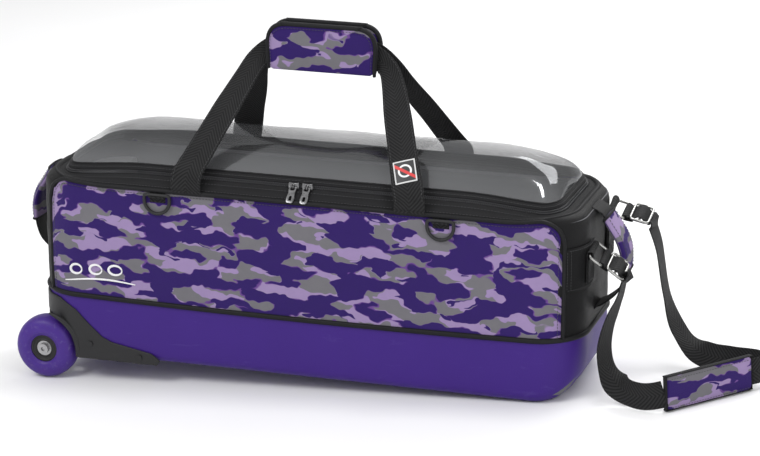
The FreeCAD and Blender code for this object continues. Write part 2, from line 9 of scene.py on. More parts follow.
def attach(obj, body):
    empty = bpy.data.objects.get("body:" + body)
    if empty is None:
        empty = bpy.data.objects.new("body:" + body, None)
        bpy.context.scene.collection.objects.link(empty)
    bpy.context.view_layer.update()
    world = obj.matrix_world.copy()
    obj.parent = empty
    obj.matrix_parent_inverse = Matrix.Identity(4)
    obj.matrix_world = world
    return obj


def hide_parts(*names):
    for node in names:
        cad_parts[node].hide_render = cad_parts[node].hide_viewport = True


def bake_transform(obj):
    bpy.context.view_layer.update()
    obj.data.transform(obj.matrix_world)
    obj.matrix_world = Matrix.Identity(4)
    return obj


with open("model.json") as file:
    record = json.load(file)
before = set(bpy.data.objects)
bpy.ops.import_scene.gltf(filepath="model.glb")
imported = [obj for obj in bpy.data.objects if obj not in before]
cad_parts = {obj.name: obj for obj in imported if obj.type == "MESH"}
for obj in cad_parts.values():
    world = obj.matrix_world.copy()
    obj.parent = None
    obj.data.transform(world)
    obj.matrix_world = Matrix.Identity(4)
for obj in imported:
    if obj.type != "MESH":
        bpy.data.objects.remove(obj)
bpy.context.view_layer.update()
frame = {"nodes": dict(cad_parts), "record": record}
scene = bpy.context.scene
random.seed(7)

# ---------------------------------------------------------------- placement
# The bag is built level, in millimetres, with the middle of its base at the origin, and STAND
# turns it onto its two wheels and the far end of its base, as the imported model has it.
MM = 0.001
X_AXIS, Y_AXIS, Z_AXIS = Matrix.Identity(3)
SIDES = (("front", -1), ("back", 1))   # the name and the sign of y of each long side
JOINTS = {j["name"]: j for j in frame["record"]["behaviour"]["joints"]}
ALONG = Vector(JOINTS["zip_right_slide"]["axis"])
TURN = Matrix.Rotation(math.atan2(-ALONG.z, ALONG.x), 4, "Y")
AXLE_X, AXLE_Z = -391.0, 3.0
HUB_Y = 101.0
AXLE = Vector((AXLE_X, -HUB_Y, AXLE_Z)) * MM
STAND = Matrix.Translation(Vector(JOINTS["wheel_front_spin"]["pos_m"]) - TURN @ AXLE) @ TURN
FLOOR = Matrix.Translation(Vector((-17.562, 1.25, 0.047)) * MM)   # for what lies on the floor

# ---------------------------------------------------------------- camera
AZ, EL = math.radians(17.5), math.radians(17.1)
FORWARD = Vector((-math.sin(AZ) * math.cos(EL), math.cos(AZ) * math.cos(EL), -math.sin(EL)))
RIGHT = Vector((math.cos(AZ), math.sin(AZ), 0.0))
UP = RIGHT.cross(FORWARD)
ASIDE, ABOVE, AHEAD = -78.2, -178.5, 4084.0   # where the bag's own origin stands, seen from the camera
EYE = -(RIGHT * ASIDE + UP * ABOVE + FORWARD * AHEAD) * MM
camera = bpy.data.objects.new("Camera", bpy.data.cameras.new("Camera"))
scene.collection.objects.link(camera)
turn = Matrix((RIGHT, UP, -FORWARD)).transposed().to_4x4()
camera.matrix_world = STAND @ Matrix.Translation(EYE) @ turn
SENSOR = 36.0
FOCAL_PX, WIDTH_PX = 2824.0, 760.0
camera.data.sensor_width = SENSOR
camera.data.lens = SENSOR * FOCAL_PX / WIDTH_PX
camera.data.clip_start = 0.1
camera.data.clip_end = 60.0
scene.camera = camera


# ---------------------------------------------------------------- materials
class Look:
    """A node material under construction."""

    def __init__(self, name, colour=(0.5, 0.5, 0.5), rough=0.5, metal=0.0, spec=0.5):
        self.m = bpy.data.materials.new(name)
        self.m.use_nodes = True
        self.tree = self.m.node_tree
        self.shader = self.tree.nodes["Principled BSDF"]
        self.put("Base Color", (*colour, 1.0))
        self.put("Roughness", rough)
        self.put("Metallic", metal)
        self.put("Specular IOR Level", spec)

    def put(self, socket, value):
        target = self.shader.inputs[socket]
        if hasattr(value, "links"):
            self.tree.links.new(value, target)
        else:
            target.default_value = value

    def node(self, kind, *inputs, **props):
        n = self.tree.nodes.new(kind)
        for key, value in props.items():
            setattr(n, key, value)
        for i, value in enumerate(inputs):
            if value is None:
                continue
            if hasattr(value, "links"):
                self.tree.links.new(value, n.inputs[i])
            else:
                n.inputs[i].default_value = value
        return n

    def math(self, op, *values, clamp=False):
        return self.node("ShaderNodeMath", *values, operation=op, use_clamp=clamp).outputs[0]

    def mul(self, a, b):
        return self.math("MULTIPLY", a, b)

    def mad(self, a, b, c):
        """a * b + c"""
        return self.math("MULTIPLY_ADD", a, b, c)

    def abs(self, a):
        return self.math("ABSOLUTE", a)

    def uv(self):
        return self.node("ShaderNodeUVMap", uv_map="UVMap").outputs[0]

    def place(self):
        return self.node("ShaderNodeTexCoord").outputs["Object"]

    def scaled(self, vector, scale, offset=(0, 0, 0)):
        n = self.node("ShaderNodeMapping", vector, offset, (0, 0, 0), scale)
        return n.outputs[0]

    def noise(self, vector, scale, detail=2.0, rough=0.5, distortion=0.0):
        n = self.node("ShaderNodeTexNoise", vector, None, scale, detail, rough)
        n.inputs["Distortion"].default_value = distortion
        return n.outputs["Fac"]

    def step(self, value, edge, soft):
        """0 below the edge, 1 above it."""
        n = self.node("ShaderNodeMapRange", value, edge - soft, edge + soft, 0.0, 1.0)
        n.interpolation_type = "SMOOTHSTEP"
        return n.outputs[0]

    def mix(self, share, a, b):
        n = self.tree.nodes.new("ShaderNodeMix")
        n.data_type = "RGBA"
        for socket, value in ((n.inputs[0], share), (n.inputs[6], a), (n.inputs[7], b)):
            if hasattr(value, "links"):
                self.tree.links.new(value, socket)
            elif isinstance(value, tuple):
                socket.default_value = (*value, 1.0)
            else:
                socket.default_value = value
        return n.outputs[2]

    def split(self, vector):
        n = self.node("ShaderNodeSeparateXYZ", vector)
        return n.outputs[0], n.outputs[1]

    def weave(self, u, v, pitch):
        """Height of a plain weave, 0 to 1."""
        a = self.math("SINE", self.mul(u, math.pi / pitch))
        b = self.math("SINE", self.mul(v, math.pi / pitch))
        over = self.math("GREATER_THAN", self.mul(a, b), 0.0)
        high_a = self.abs(a)
        high_b = self.abs(b)
        diff = self.math("SUBTRACT", high_a, high_b)
        return self.mad(over, diff, high_b)

    def ribs(self, u, v, pitch, slope):
        """Height of slanting ribs that turn back at the middle of a webbing's width."""
        side = self.abs(v)
        run = self.mad(side, slope, u)
        wave = self.math("SINE", self.mul(run, 2 * math.pi / pitch))
        return self.mad(wave, 0.5, 0.5)

    def bump(self, height, distance, strength=1.0):
        n = self.tree.nodes.new("ShaderNodeBump")
        n.inputs["Strength"].default_value = strength
        n.inputs["Distance"].default_value = distance
        self.tree.links.new(height, n.inputs["Height"])
        self.put("Normal", n.outputs[0])

    def done(self):
        return self.m


# linear colours of the coated base and of the printed cloth
PURPLE = (0.046, 0.018, 0.190)
DARK = (0.026, 0.010, 0.110)
LILAC = (0.30, 0.22, 0.40)
GREY = (0.155, 0.150, 0.165)
EDGE = (0.13, 0.055, 0.24)


def camo_look(name, offset):
    """Printed cloth: flowing patches of dark purple, lilac and grey, with a thin edge line."""
    k = Look(name, rough=0.8, spec=0.12)
    uv = k.uv()
    u, v = k.split(uv)
    lobes = k.node("ShaderNodeTexNoise", k.scaled(uv, (46.0, 62.0, 1.0), offset), None, 1.0, 1.1, 0.5)
    shove = k.node("ShaderNodeVectorMath", lobes.outputs["Color"], (0.036, 0.020, 0.0), uv,
                   operation="MULTIPLY_ADD")
    lobed = shove.outputs[0]
    base = k.noise(k.scaled(lobed, (17.5, 48.0, 1.0), offset), 1.0, 0.6, 0.45)
    east, north = offset[:2]
    other = k.noise(k.scaled(lobed, (18.0, 44.0, 1.0), (east + 31.7, north + 8.3, 2.0)), 1.0, 0.5, 0.45)
    third = k.noise(k.scaled(lobed, (22.0, 64.0, 1.0), (east + 5.1, north + 47.9, 5.0)), 1.0, 0.5, 0.4)
    light = k.mix(k.step(other, 0.475, 0.006), LILAC, GREY)
    light = k.mix(k.step(third, 0.60, 0.006), light, LILAC)
    inner = k.mul(k.step(third, 0.605, 0.005), k.step(base, 0.40, 0.005))
    dark_in = k.step(base, 0.512, 0.005)
    rim = k.step(base, 0.500, 0.004)
    colour = k.mix(rim, light, EDGE)
    colour = k.mix(k.math("MAXIMUM", dark_in, inner), colour, DARK)
    shade = k.noise(uv, 60.0, 3.0, 0.6)
    colour = k.mix(k.mul(shade, 0.16), colour, (0.02, 0.02, 0.03))
    k.put("Base Color", colour)
    k.put("Sheen Weight", 0.05)
    k.put("Sheen Roughness", 0.5)
    cloth = k.weave(u, v, 0.0009)
    soft = k.noise(uv, 26.0, 3.0, 0.55)
    k.put("Roughness", k.mad(soft, 0.2, 0.66))
    k.bump(k.mad(soft, 4.0, cloth), 0.00022, 0.5)
    return k.done()


def nylon_look(name, colour, rough=0.6, pitch=0.0011, sheen=0.02, vary=0.5):
    """Woven nylon with a coated back: fine weave and soft, uneven shine."""
    k = Look(name, rough=rough, spec=0.08)
    uv = k.uv()
    u, v = k.split(uv)
    spots = k.noise(uv, 35.0, 4.0, 0.6)
    broad = k.noise(uv, 7.0, 3.0, 0.5)
    lighter = tuple(min(1.0, c * (1 + vary) + 0.003) for c in colour)
    darker = tuple(c * (1 - 0.4 * vary) for c in colour)
    k.put("Base Color", k.mix(k.mad(broad, 0.6, k.mul(spots, 0.4)), darker, lighter))
    k.put("Roughness", k.mad(spots, 0.22, rough - 0.11))
    k.put("Sheen Weight", sheen)
    cloth = k.weave(u, v, pitch)
    k.bump(k.mad(spots, 2.5, cloth), 0.00028, 0.55)
    return k.done()


def webbing_look(name, colour):
    """Belt webbing with slanting ribs, their crests painted lighter and their grooves painted darker."""
    k = Look(name, rough=0.62, spec=0.09)
    u, v = k.split(k.uv())
    ribs = k.ribs(u, v, 0.0056, 1.0)
    fine = k.weave(u, v, 0.0007)
    worn = k.noise(k.uv(), 40.0, 3.0, 0.6)
    # painted shade and painted highlight: the colour follows the ribs' height, darker in the grooves and lighter on
    # the crests, over random worn tone
    lift = k.mad(worn, 0.4, k.mul(ribs, 0.6))
    k.put("Base Color", k.mix(lift, tuple(c * 0.3 for c in colour), tuple(c * 2.4 for c in colour)))
    k.put("Roughness", k.mad(worn, 0.2, 0.5))
    k.put("Sheen Weight", 0.03)
    k.bump(k.mad(ribs, 1.0, k.mul(fine, 0.3)), 0.0005, 0.8)
    return k.done()


def plastic_look(name, colour, rough=0.45, grain=900.0, depth=0.00012, spec=0.3):
    """Moulded plastic: a fine grain, scuffs and slightly paler worn spots."""
    k = Look(name, rough=rough, spec=spec)
    place = k.place()
    fine = k.noise(place, grain, 2.0, 0.6)
    scuff = k.noise(k.scaled(place, (30.0, 90.0, 60.0)), 1.0, 5.0, 0.65, 0.4)
    marks = k.step(scuff, 0.64, 0.06)
    lighter = tuple(c * 1.35 + 0.008 for c in colour)
    k.put("Base Color", k.mix(k.mad(scuff, 0.5, k.mul(marks, 0.3)), colour, lighter))
    k.put("Roughness", k.mad(scuff, 0.24, rough - 0.1))
    k.bump(k.mad(scuff, 0.8, fine), depth, 0.6)
    return k.done()


def metal_look(name, colour, rough=0.24):
    """Plated or turned metal with hairline scratches and dull spots."""
    k = Look(name, colour, rough, 1.0)
    place = k.place()
    hair = k.noise(k.scaled(place, (220.0, 1400.0, 1400.0)), 1.0, 3.0, 0.6)
    dull = k.noise(place, 140.0, 4.0, 0.6)
    k.put("Base Color", k.mix(dull, tuple(c * 0.8 for c in colour), colour))
    k.put("Roughness", k.mad(k.mul(hair, dull), 0.55, rough - 0.1))
    k.bump(hair, 0.00005, 0.35)
    return k.done()


def coated_look():
    """Smooth coated cloth of the base: a soft pebble grain and faint scuffs."""
    k = Look("coated_cloth", PURPLE, 0.42, spec=0.18)
    place = k.place()
    pebble = k.node("ShaderNodeTexVoronoi", place, None, 620.0).outputs["Distance"]
    broad = k.noise(place, 9.0, 4.0, 0.55)
    scuff = k.step(k.noise(k.scaled(place, (14.0, 40.0, 70.0)), 1.0, 6.0, 0.7, 0.6), 0.66, 0.07)
    tone = k.mix(broad, (0.035, 0.011, 0.152), (0.044, 0.015, 0.184))
    k.put("Base Color", k.mix(k.mul(scuff, 0.22), tone, (0.10, 0.07, 0.27)))
    k.put("Roughness", k.mad(broad, 0.2, 0.34))
    k.bump(k.mad(broad, 1.5, pebble), 0.0002, 0.45)
    return k.done()


def urethane_look():
    """Cast wheel tyre: even purple, with faint dust."""
    k = Look("urethane", (0.06, 0.026, 0.22), 0.4, spec=0.25)
    place = k.place()
    dust = k.noise(place, 160.0, 5.0, 0.65)
    cloud = k.noise(place, 22.0, 3.0, 0.5)
    tone = k.mix(cloud, (0.043, 0.015, 0.172), (0.058, 0.023, 0.220))
    k.put("Base Color", k.mix(k.mul(k.step(dust, 0.62, 0.08), 0.25), tone, (0.2, 0.17, 0.3)))
    k.put("Roughness", k.mad(dust, 0.3, 0.27))
    k.put("Subsurface Weight", 0.05)
    k.bump(dust, 0.0001, 0.4)
    return k.done()


def vinyl_look():
    """Clear soft sheet: gloss over waves left from being folded, darker and less clear towards its long sides, and
    painted shade along its back.
    """
    k = Look("clear_vinyl_sheet", (0.80, 0.82, 0.85), 0.06, 0.75)
    place = k.place()
    waves = k.noise(k.scaled(place, (5.0, 9.0, 7.0)), 1.0, 1.6, 0.4, 0.5)
    small = k.noise(k.scaled(place, (13.0, 20.0, 16.0)), 1.0, 1.2, 0.4, 0.4)
    film = k.node("ShaderNodeLayerWeight", 0.32)
    edge_on = k.math("POWER", film.outputs["Facing"], 1.6)
    depth = k.split(place)[1]
    across = k.abs(depth)
    haze_and_rear_shade = k.mad(waves, 0.10, k.mul(k.step(across, 0.070, 0.034), 0.22))
    # painted shade: the back of the sheet, y beyond 50 mm, is made darker and less clear, standing in for the dark
    # reflection seen along its back
    haze_and_rear_shade = k.mad(k.step(depth, 0.050, 0.040), 0.38, haze_and_rear_shade)
    dark_film_and_rear_shade = k.math("MAXIMUM", edge_on, k.mul(haze_and_rear_shade, 0.8))
    # base colour: pale where the sheet faces the camera, dark grey at grazing angles, in the haze and in the
    # painted shade along the back
    k.put("Base Color", k.mix(dark_film_and_rear_shade, (0.60, 0.61, 0.63), (0.085, 0.087, 0.095)))
    k.put("Alpha", k.math("ADD", k.mad(edge_on, 0.36, 0.06), haze_and_rear_shade, clamp=True))
    k.put("Roughness", k.mad(small, 0.12, 0.05))
    k.bump(waves, 0.018, 0.7)
    return k.done()


def thread_look(name, colour):
    """Twisted sewing thread."""
    k = Look(name, colour, 0.6)
    twist = k.noise(k.place(), 1600.0, 2.0, 0.6)
    lighter = tuple(min(1.0, c * 1.3) for c in colour)
    k.put("Base Color", k.mix(twist, tuple(c * 0.6 for c in colour), lighter))
    k.bump(twist, 0.0001, 0.5)
    return k.done()


def foam_look():
    """Cloth-faced foam."""
    k = Look("foam_cloth", rough=0.9, spec=0.2)
    place = k.place()
    pile = k.noise(place, 700.0, 3.0, 0.7)
    broad = k.noise(place, 14.0, 4.0, 0.6)
    k.put("Base Color", k.mix(broad, (0.075, 0.077, 0.083), (0.13, 0.132, 0.14)))
    k.put("Sheen Weight", 0.3)
    k.put("Roughness", k.mad(pile, 0.15, 0.78))
    k.bump(pile, 0.0006, 0.7)
    return k.done()


def badge_look():
    """Printed patch with a plain mark: a ring with a red bar across it."""
    k = Look("badge_print", rough=0.4)
    u, v = k.split(k.uv())
    far = k.math("SQRT", k.math("ADD", k.math("POWER", u, 2.0),
                                k.math("POWER", k.math("SUBTRACT", v, 0.001), 2.0)))
    inside = k.math("SUBTRACT", 1.0, k.step(far, 0.0098, 0.0003))
    ring = k.mul(k.step(far, 0.0072, 0.0003), inside)
    slash = k.abs(k.math("ADD", k.mul(u, 0.62), k.mul(v, 0.78)))
    bar = k.math("SUBTRACT", 1.0, k.step(slash, 0.0021, 0.0003))
    frame_u = k.step(k.abs(u), 0.0137, 0.0003)
    frame_v = k.step(k.abs(v), 0.0152, 0.0003)
    face = k.mix(ring, (0.02, 0.02, 0.022), (0.75, 0.75, 0.75))
    face = k.mix(bar, face, (0.55, 0.03, 0.03))
    edge = k.math("MAXIMUM", frame_u, frame_v)
    k.put("Base Color", k.mix(edge, face, (0.72, 0.72, 0.72)))
    worn = k.noise(k.uv(), 300.0, 3.0, 0.6)
    k.put("Roughness", k.mad(worn, 0.25, 0.3))
    k.bump(k.mad(worn, 0.3, edge), 0.0002, 0.5)
    return k.done()


CAMO = camo_look("camo_print", (3.0, 7.0, 0.0))
CAMO_B = camo_look("camo_print_b", (14.6, 2.2, 1.0))
NYLON = nylon_look("black_oxford", (0.0075, 0.0075, 0.008), 0.5)
BINDING = nylon_look("black_binding", (0.013, 0.013, 0.014), 0.66, 0.0008)
PIPING = plastic_look("piping_vinyl", (0.009, 0.009, 0.010), 0.5, 1500.0, 0.00012, 0.12)
LINER = nylon_look("grey_liner", (0.060, 0.061, 0.065), 0.6, 0.0008, 0.05, 0.2)
WEB = webbing_look("black_webbing_rib", (0.0125, 0.0125, 0.013))
COATED = coated_look()
URETHANE = urethane_look()
PLASTIC = plastic_look("black_moulding", (0.013, 0.013, 0.014), 0.5)
BOARD = plastic_look("board_sheet", (0.10, 0.10, 0.11), 0.6)
NICKEL = metal_look("nickel_wire", (0.34, 0.34, 0.33), 0.22)
STEEL = metal_look("turned_steel", (0.40, 0.40, 0.41), 0.3)
BLACK_STEEL = metal_look("blackened_steel", (0.035, 0.035, 0.037), 0.42)
ZIP_METAL = metal_look("zip_casting", (0.22, 0.22, 0.225), 0.28)
COIL = plastic_look("zip_coil_nylon", (0.03, 0.03, 0.033), 0.35, 1500.0)
VINYL = vinyl_look()
THREAD = thread_look("black_thread", (0.035, 0.035, 0.038))
PALE_THREAD = thread_look("white_thread", (0.80, 0.80, 0.80))
FOAM = foam_look()
BADGE = badge_look()
HOOK = nylon_look("closure_pile", (0.02, 0.02, 0.022), 0.9, 0.0016, 0.4)


# ---------------------------------------------------------------- building helpers
soft_top = []   # pieces on the bag and its lid, for settle() to lean and sag at both ends


def link(name, data, look=None):
    """Adds an object to the scene, shaded smooth in its look if it has one."""
    data.name = name
    obj = bpy.data.objects.new(name, data)
    scene.collection.objects.link(obj)
    if look:
        data.materials.append(look)
        for p in data.polygons:
            p.use_smooth = True
    return obj


def add_object(name, mesh, body, look, cad=(), frame_of=STAND):
    """Puts a mesh given in millimetres into the row frame and lets it ride on a body."""
    mesh.transform(frame_of @ Matrix.Scale(MM, 4))
    obj = link(name, mesh, look)
    if body:
        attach(obj, body)
    if body in ("bag", "lid") and frame_of is STAND:
        soft_top.append(obj)
    if cad:
        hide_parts(*cad)
    return obj


def outward(mesh):
    """Turns every face to look outwards."""
    bm = bmesh.new()
    bm.from_mesh(mesh)
    bmesh.ops.recalc_face_normals(bm, faces=bm.faces)
    bm.to_mesh(mesh)
    bm.free()


def mesh_of(verts, faces, uvs=None, weld=0.0, closed=True):
    mesh = bpy.data.meshes.new("piece")
    mesh.from_pydata([tuple(v) for v in verts], [], faces)
    if uvs is not None:
        layer = mesh.uv_layers.new(name="UVMap")
        for loop in mesh.loops:
            layer.data[loop.index].uv = uvs[loop.vertex_index]
    if weld:
        bm = bmesh.new()
        bm.from_mesh(mesh)
        bmesh.ops.remove_doubles(bm, verts=bm.verts, dist=weld)
        bm.to_mesh(mesh)
        bm.free()
    if closed:
        outward(mesh)
    mesh.update()
    return mesh


def lengths(points):
    """Distance along a line, at each of its points."""
    run = [0.0]
    for a, b in zip(points, points[1:]):
        run.append(run[-1] + (b - a).length)
    return run


def grid_faces(rows, n, around=True, back=False):
    """Faces between rows of n points, closed around each row and, if asked, back to the first row."""
    faces = []
    for i in range(rows if back else rows - 1):
        i2 = (i + 1) % rows
        for j in range(n if around else n - 1):
            k = (j + 1) % n
            faces.append((i * n + j, i * n + k, i2 * n + k, i2 * n + j))
    return faces


def rod_faces(rows, n):
    """Faces of a closed rod: rings of n points with a cap at both ends."""
    last = (rows - 1) * n
    return grid_faces(rows, n) + [tuple(range(n))[::-1], tuple(last + j for j in range(n))]


def grid_uvs(rows):
    """Texture places in metres: along each row, and from row to row."""
    out = []
    down = [0.0]
    for a, b in zip(rows, rows[1:]):
        down.append(down[-1] + sum((p - q).length for p, q in zip(a, b)) / len(a))
    for i, row in enumerate(rows):
        out += [(run * MM, down[i] * MM) for run in lengths(row)]
    return out


def skin(rows, closed=False, weld=0.0, uvs=None):
    """Surface through rows of points; closed joins each row's end to its start."""
    verts = [p for row in rows for p in row]
    faces = grid_faces(len(rows), len(rows[0]), closed)
    return mesh_of(verts, faces, uvs or grid_uvs(rows), weld, closed=False)


def thicken(obj, depth, offset=-1.0):
    """Gives a sheet its thickness."""
    mod = obj.modifiers.new("thickness", "SOLIDIFY")
    mod.thickness = depth * MM
    mod.offset = offset
    mod.use_rim = True


def smooth(obj):
    """Rounds a mesh off by one level of subdivision."""
    mod = obj.modifiers.new("smooth", "SUBSURF")
    mod.levels = mod.render_levels = 1


def sampled(points, step):
    """A smooth line through points, sampled about every step millimetres."""
    out = []
    n = len(points)
    for i in range(n - 1):
        p0 = points[max(i - 1, 0)]
        p1 = points[i]
        p2 = points[i + 1]
        p3 = points[min(i + 2, n - 1)]
        count = max(2, int(round((p2 - p1).length / step)))
        for k in range(count):
            t = k / count
            out.append(0.5 * ((2 * p1) + (p2 - p0) * t + (2 * p0 - 5 * p1 + 4 * p2 - p3) * t * t
                              + (3 * p1 - p0 - 3 * p2 + p3) * t ** 3))
    out.append(points[-1].copy())
    return out


def tangents(points, closed=False):
    n = len(points)
    out = []
    for i in range(n):
        a = points[(i - 1) % n] if closed or i else points[0]
        b = points[(i + 1) % n] if closed or i < n - 1 else points[-1]
        out.append((b - a).normalized())
    return out


def tube(points, radius, closed=False, sides=10):
    """Round bead along points; radius may be a function of the share along it."""
    n = len(points)
    tan = tangents(points, closed)
    side = tan[0].orthogonal().normalized()
    rows = []
    for i, p in enumerate(points):
        side = (side - tan[i] * side.dot(tan[i])).normalized()
        other = tan[i].cross(side)
        r = radius(i / (n - 1)) if callable(radius) else radius
        rows.append([p + side * (r * math.cos(a)) + other * (r * math.sin(a))
                     for a in (2 * math.pi * k / sides for k in range(sides))])
    verts = [p for row in rows for p in row]
    faces = grid_faces(n, sides, back=True) if closed else rod_faces(n, sides)
    uvs = [(run * MM, j / sides * 0.02) for run in lengths(points) for j in range(sides)]
    return mesh_of(verts, faces, uvs)


def ribbon(points, sides, width, thick):
    """Webbing: a flat band with rounded selvedges, along points, as wide as given along sides."""
    w = 0.5 * (width if isinstance(width, float) else max(width))
    t = thick / 2
    shoulder = t * 0.85
    section = [(-w, 0), (-w + 0.5, shoulder), (-w + 2, t), (-w / 3, t), (w / 3, t), (w - 2, t), (w - 0.5, shoulder),
               (w, 0), (w - 0.5, -shoulder), (w - 2, -t), (w / 3, -t), (-w / 3, -t), (-w + 2, -t),
               (-w + 0.5, -shoulder)]
    tan = tangents(points)
    verts = []
    uvs = []
    for i, (p, run) in enumerate(zip(points, lengths(points))):
        s = (sides[i] - tan[i] * sides[i].dot(tan[i])).normalized()
        up = tan[i].cross(s)
        share = 1.0 if isinstance(width, float) else 0.5 * width[i] / w
        for a, b in section:
            verts.append(p + s * (a * share) + up * b)
            uvs.append((run * MM, a * MM))
    return mesh_of(verts, rod_faces(len(points), len(section)), uvs)


def lathe(profile, centre, axis, steps=64):
    """Turned shape: profile holds (distance along the axis, radius), closed by itself."""
    axis = axis.normalized()
    side = axis.orthogonal().normalized()
    other = axis.cross(side)
    n = len(profile)
    verts = []
    uvs = []
    for i in range(steps):
        a = 2 * math.pi * i / steps
        out = side * math.cos(a) + other * math.sin(a)
        for j, (d, r) in enumerate(profile):
            verts.append(centre + axis * d + out * r)
            uvs.append((i / steps, j / n * 0.1))
    return mesh_of(verts, grid_faces(steps, n, back=True), uvs)


def rounded_profile(points, radius, steps=4):
    """A closed outline of 2-D corners, each rounded off by up to radius."""
    out = []
    n = len(points)
    for i in range(n):
        p = Vector(points[i]).to_2d()
        a = (Vector(points[i - 1]).to_2d() - p)
        b = (Vector(points[(i + 1) % n]).to_2d() - p)
        r = min(radius if not callable(radius) else radius(i), a.length * 0.45, b.length * 0.45)
        a.normalize()
        b.normalize()
        for k in range(steps + 1):
            t = k / steps
            out.append(tuple(p + a * (r * (1 - t) ** 2) + b * (r * t * t)))
    return out


STITCH_LIFT = 0.25


def stitch_mesh(points, normals, stitch=3.4, gap=1.3, radius=0.42):
    """Row of separate stitches that lie along points."""
    verts = []
    faces = []
    run = lengths(points)

    def at(d):
        for i in range(len(run) - 1):
            if d <= run[i + 1] or i == len(run) - 2:
                t = (d - run[i]) / max(run[i + 1] - run[i], 1e-6)
                return points[i].lerp(points[i + 1], t), normals[i].lerp(normals[i + 1], t).normalized()

    one = rod_faces(4, 5)
    d = gap
    while d + stitch < run[-1]:
        start, up = at(d)
        end, up2 = at(d + stitch)
        mid, up_mid = at(d + stitch / 2)
        line = (end - start).normalized()
        across = line.cross(up_mid).normalized()
        ring = len(verts)
        for centre, r in ((start, 0.3), (start.lerp(mid, 0.35) + up_mid * STITCH_LIFT, 1.0),
                          (end.lerp(mid, 0.35) + up_mid * STITCH_LIFT, 1.0), (end, 0.3)):
            for k in range(5):
                a = 2 * math.pi * k / 5
                verts.append(centre + (across * math.cos(a) + up_mid * math.sin(a)) * radius * r)
        faces += [tuple(ring + k for k in face) for face in one]
        d += stitch + gap
    return mesh_of(verts, faces, [(0.0, 0.0)] * len(verts))


def join_meshes(meshes):
    """One mesh made of several, texture places kept."""
    bm = bmesh.new()
    for m in meshes:
        bm.from_mesh(m)
        bpy.data.meshes.remove(m)
    out = bpy.data.meshes.new("piece")
    bm.to_mesh(out)
    bm.free()
    return out


def ease(value):
    """0 below 0, 1 above 1 and a soft step between."""
    value = min(1.0, max(0.0, value))
    return value * value * (3 - 2 * value)


def ripple(p, scale, seed):
    """Smooth noise from -1 to 1 at a point in millimetres."""
    return noise.noise(Vector((p[0] / scale + seed, p[1] / scale - seed, p[2] / scale + 2 * seed)))


# ---------------------------------------------------------------- cords: the tow strap's two branches
FRONT_ROUTE = [(461, -63, 168), (457, -65, 148), (446, -68, 124), (436, -73, 96), (432, -80, 68),
               (439, -89, 42), (458, -101, 23), (484, -117, 19), (508, -123, 21), (525, -121, 26)]
BACK_ROUTE = [(475, 57, 211), (483, 59, 186), (486, 61, 154), (489, 62, 120), (496, 60, 88),
              (508, 54, 60), (526, 44, 40), (550, 33, 30), (580, 26, 28), (612, 24, 28),
              (636, 16, 28), (640, -6, 27), (623, -15, 26)]
TOW_W = 38.0


def route_line(name, route):
    """The smooth line of a route in row metres, read from a NURBS spline."""
    curve = bpy.data.curves.new(name, "CURVE")
    curve.dimensions = "3D"
    curve.resolution_u = 10
    spline = curve.splines.new("NURBS")
    spline.points.add(len(route) - 1)
    for point, place in zip(spline.points, route):
        point.co = (*(FLOOR @ (Vector(place) * MM)), 1.0)
    spline.order_u = 3
    spline.use_endpoint_u = True
    holder = link(name, curve)
    mesh = bpy.data.meshes.new_from_object(holder)
    line = [v.co.copy() for v in mesh.vertices]
    bpy.data.objects.remove(holder)
    bpy.data.meshes.remove(mesh)
    bpy.data.curves.remove(curve)
    return line


def strap_on_line(name, line, keys):
    """Flat webbing along a line; keys give its width's direction at shares of the length."""
    run = lengths(line)
    sides = []
    for d in run:
        share = d / run[-1]
        for (s0, v0), (s1, v1) in zip(keys, keys[1:]):
            if share <= s1:
                t = ease((share - s0) / (s1 - s0))
                sides.append(Vector(v0).lerp(Vector(v1), t).normalized())
                break
    mesh = ribbon([p / MM for p in line], sides, TOW_W, 1.9)
    mesh.transform(Matrix.Scale(MM, 4))
    return link(name, mesh, WEB), run[-1]


front_line = route_line("front_route", FRONT_ROUTE)
back_line = route_line("back_route", BACK_ROUTE)
FRONT_KEYS = [(0.0, (0.05, 0.98, 0.20)), (0.25, (0.25, 0.97, 0.0)), (0.48, (0.30, 0.95, 0.0)),
              (0.80, (0.0, 0.1, 1.0)), (1.0, (0, 0, 1))]
BACK_KEYS = [(0.0, (0.0, 0.98, 0.20)), (0.3, (0.0, 1.0, 0.0)), (0.48, (0.30, 0.95, 0.05)),
             (0.66, (-0.1, 0.55, 0.80)), (0.80, (0.0, 0.0, 1.0)), (1.0, (0, 0, 1))]
strap_front, length_front = strap_on_line("tow_webbing_front", front_line, FRONT_KEYS)
strap_back, length_back = strap_on_line("tow_webbing_back", back_line, BACK_KEYS)

# ---------------------------------------------------------------- the body's outline
HX, HY, CR = 400.0, 120.0, 65.0
BASE_TOP, WALL_TOP, ZIP_Z, ZIP_IN, LID_TOP, DOME = 91.0, 258.0, 274.0, 19.0, 290.0, 40.0
PANEL_HALF, PANEL_ROUND = 376.0, 32.0
ARC = math.pi * CR / 2
LAP = 4 * (HX - CR) + 4 * (HY - CR) + 4 * ARC


def plan_point(t, inset=0.0):
    """Point and outward direction on the body's outline, t from the front's middle towards +X."""
    a, b = HX - CR, HY - CR
    t %= LAP
    stretches = ((a, (0, -HY), (1, 0), None), (ARC, (a, -b), None, -90), (2 * b, (HX, -b), (0, 1), None),
                 (ARC, (a, b), None, 0), (2 * a, (a, HY), (-1, 0), None), (ARC, (-a, b), None, 90),
                 (2 * b, (-HX, b), (0, -1), None), (ARC, (-a, -b), None, 180), (a, (-a, -HY), (1, 0), None))
    for size, start, way, angle in stretches:
        if t <= size + 1e-6:
            break
        t -= size
    if way:
        n = Vector((way[1], -way[0]))
        p = Vector(start) + Vector(way) * t
    else:
        th = math.radians(angle) + t / CR
        n = Vector((math.cos(th), math.sin(th)))
        p = Vector(start) + n * CR
    return p - n * inset, n


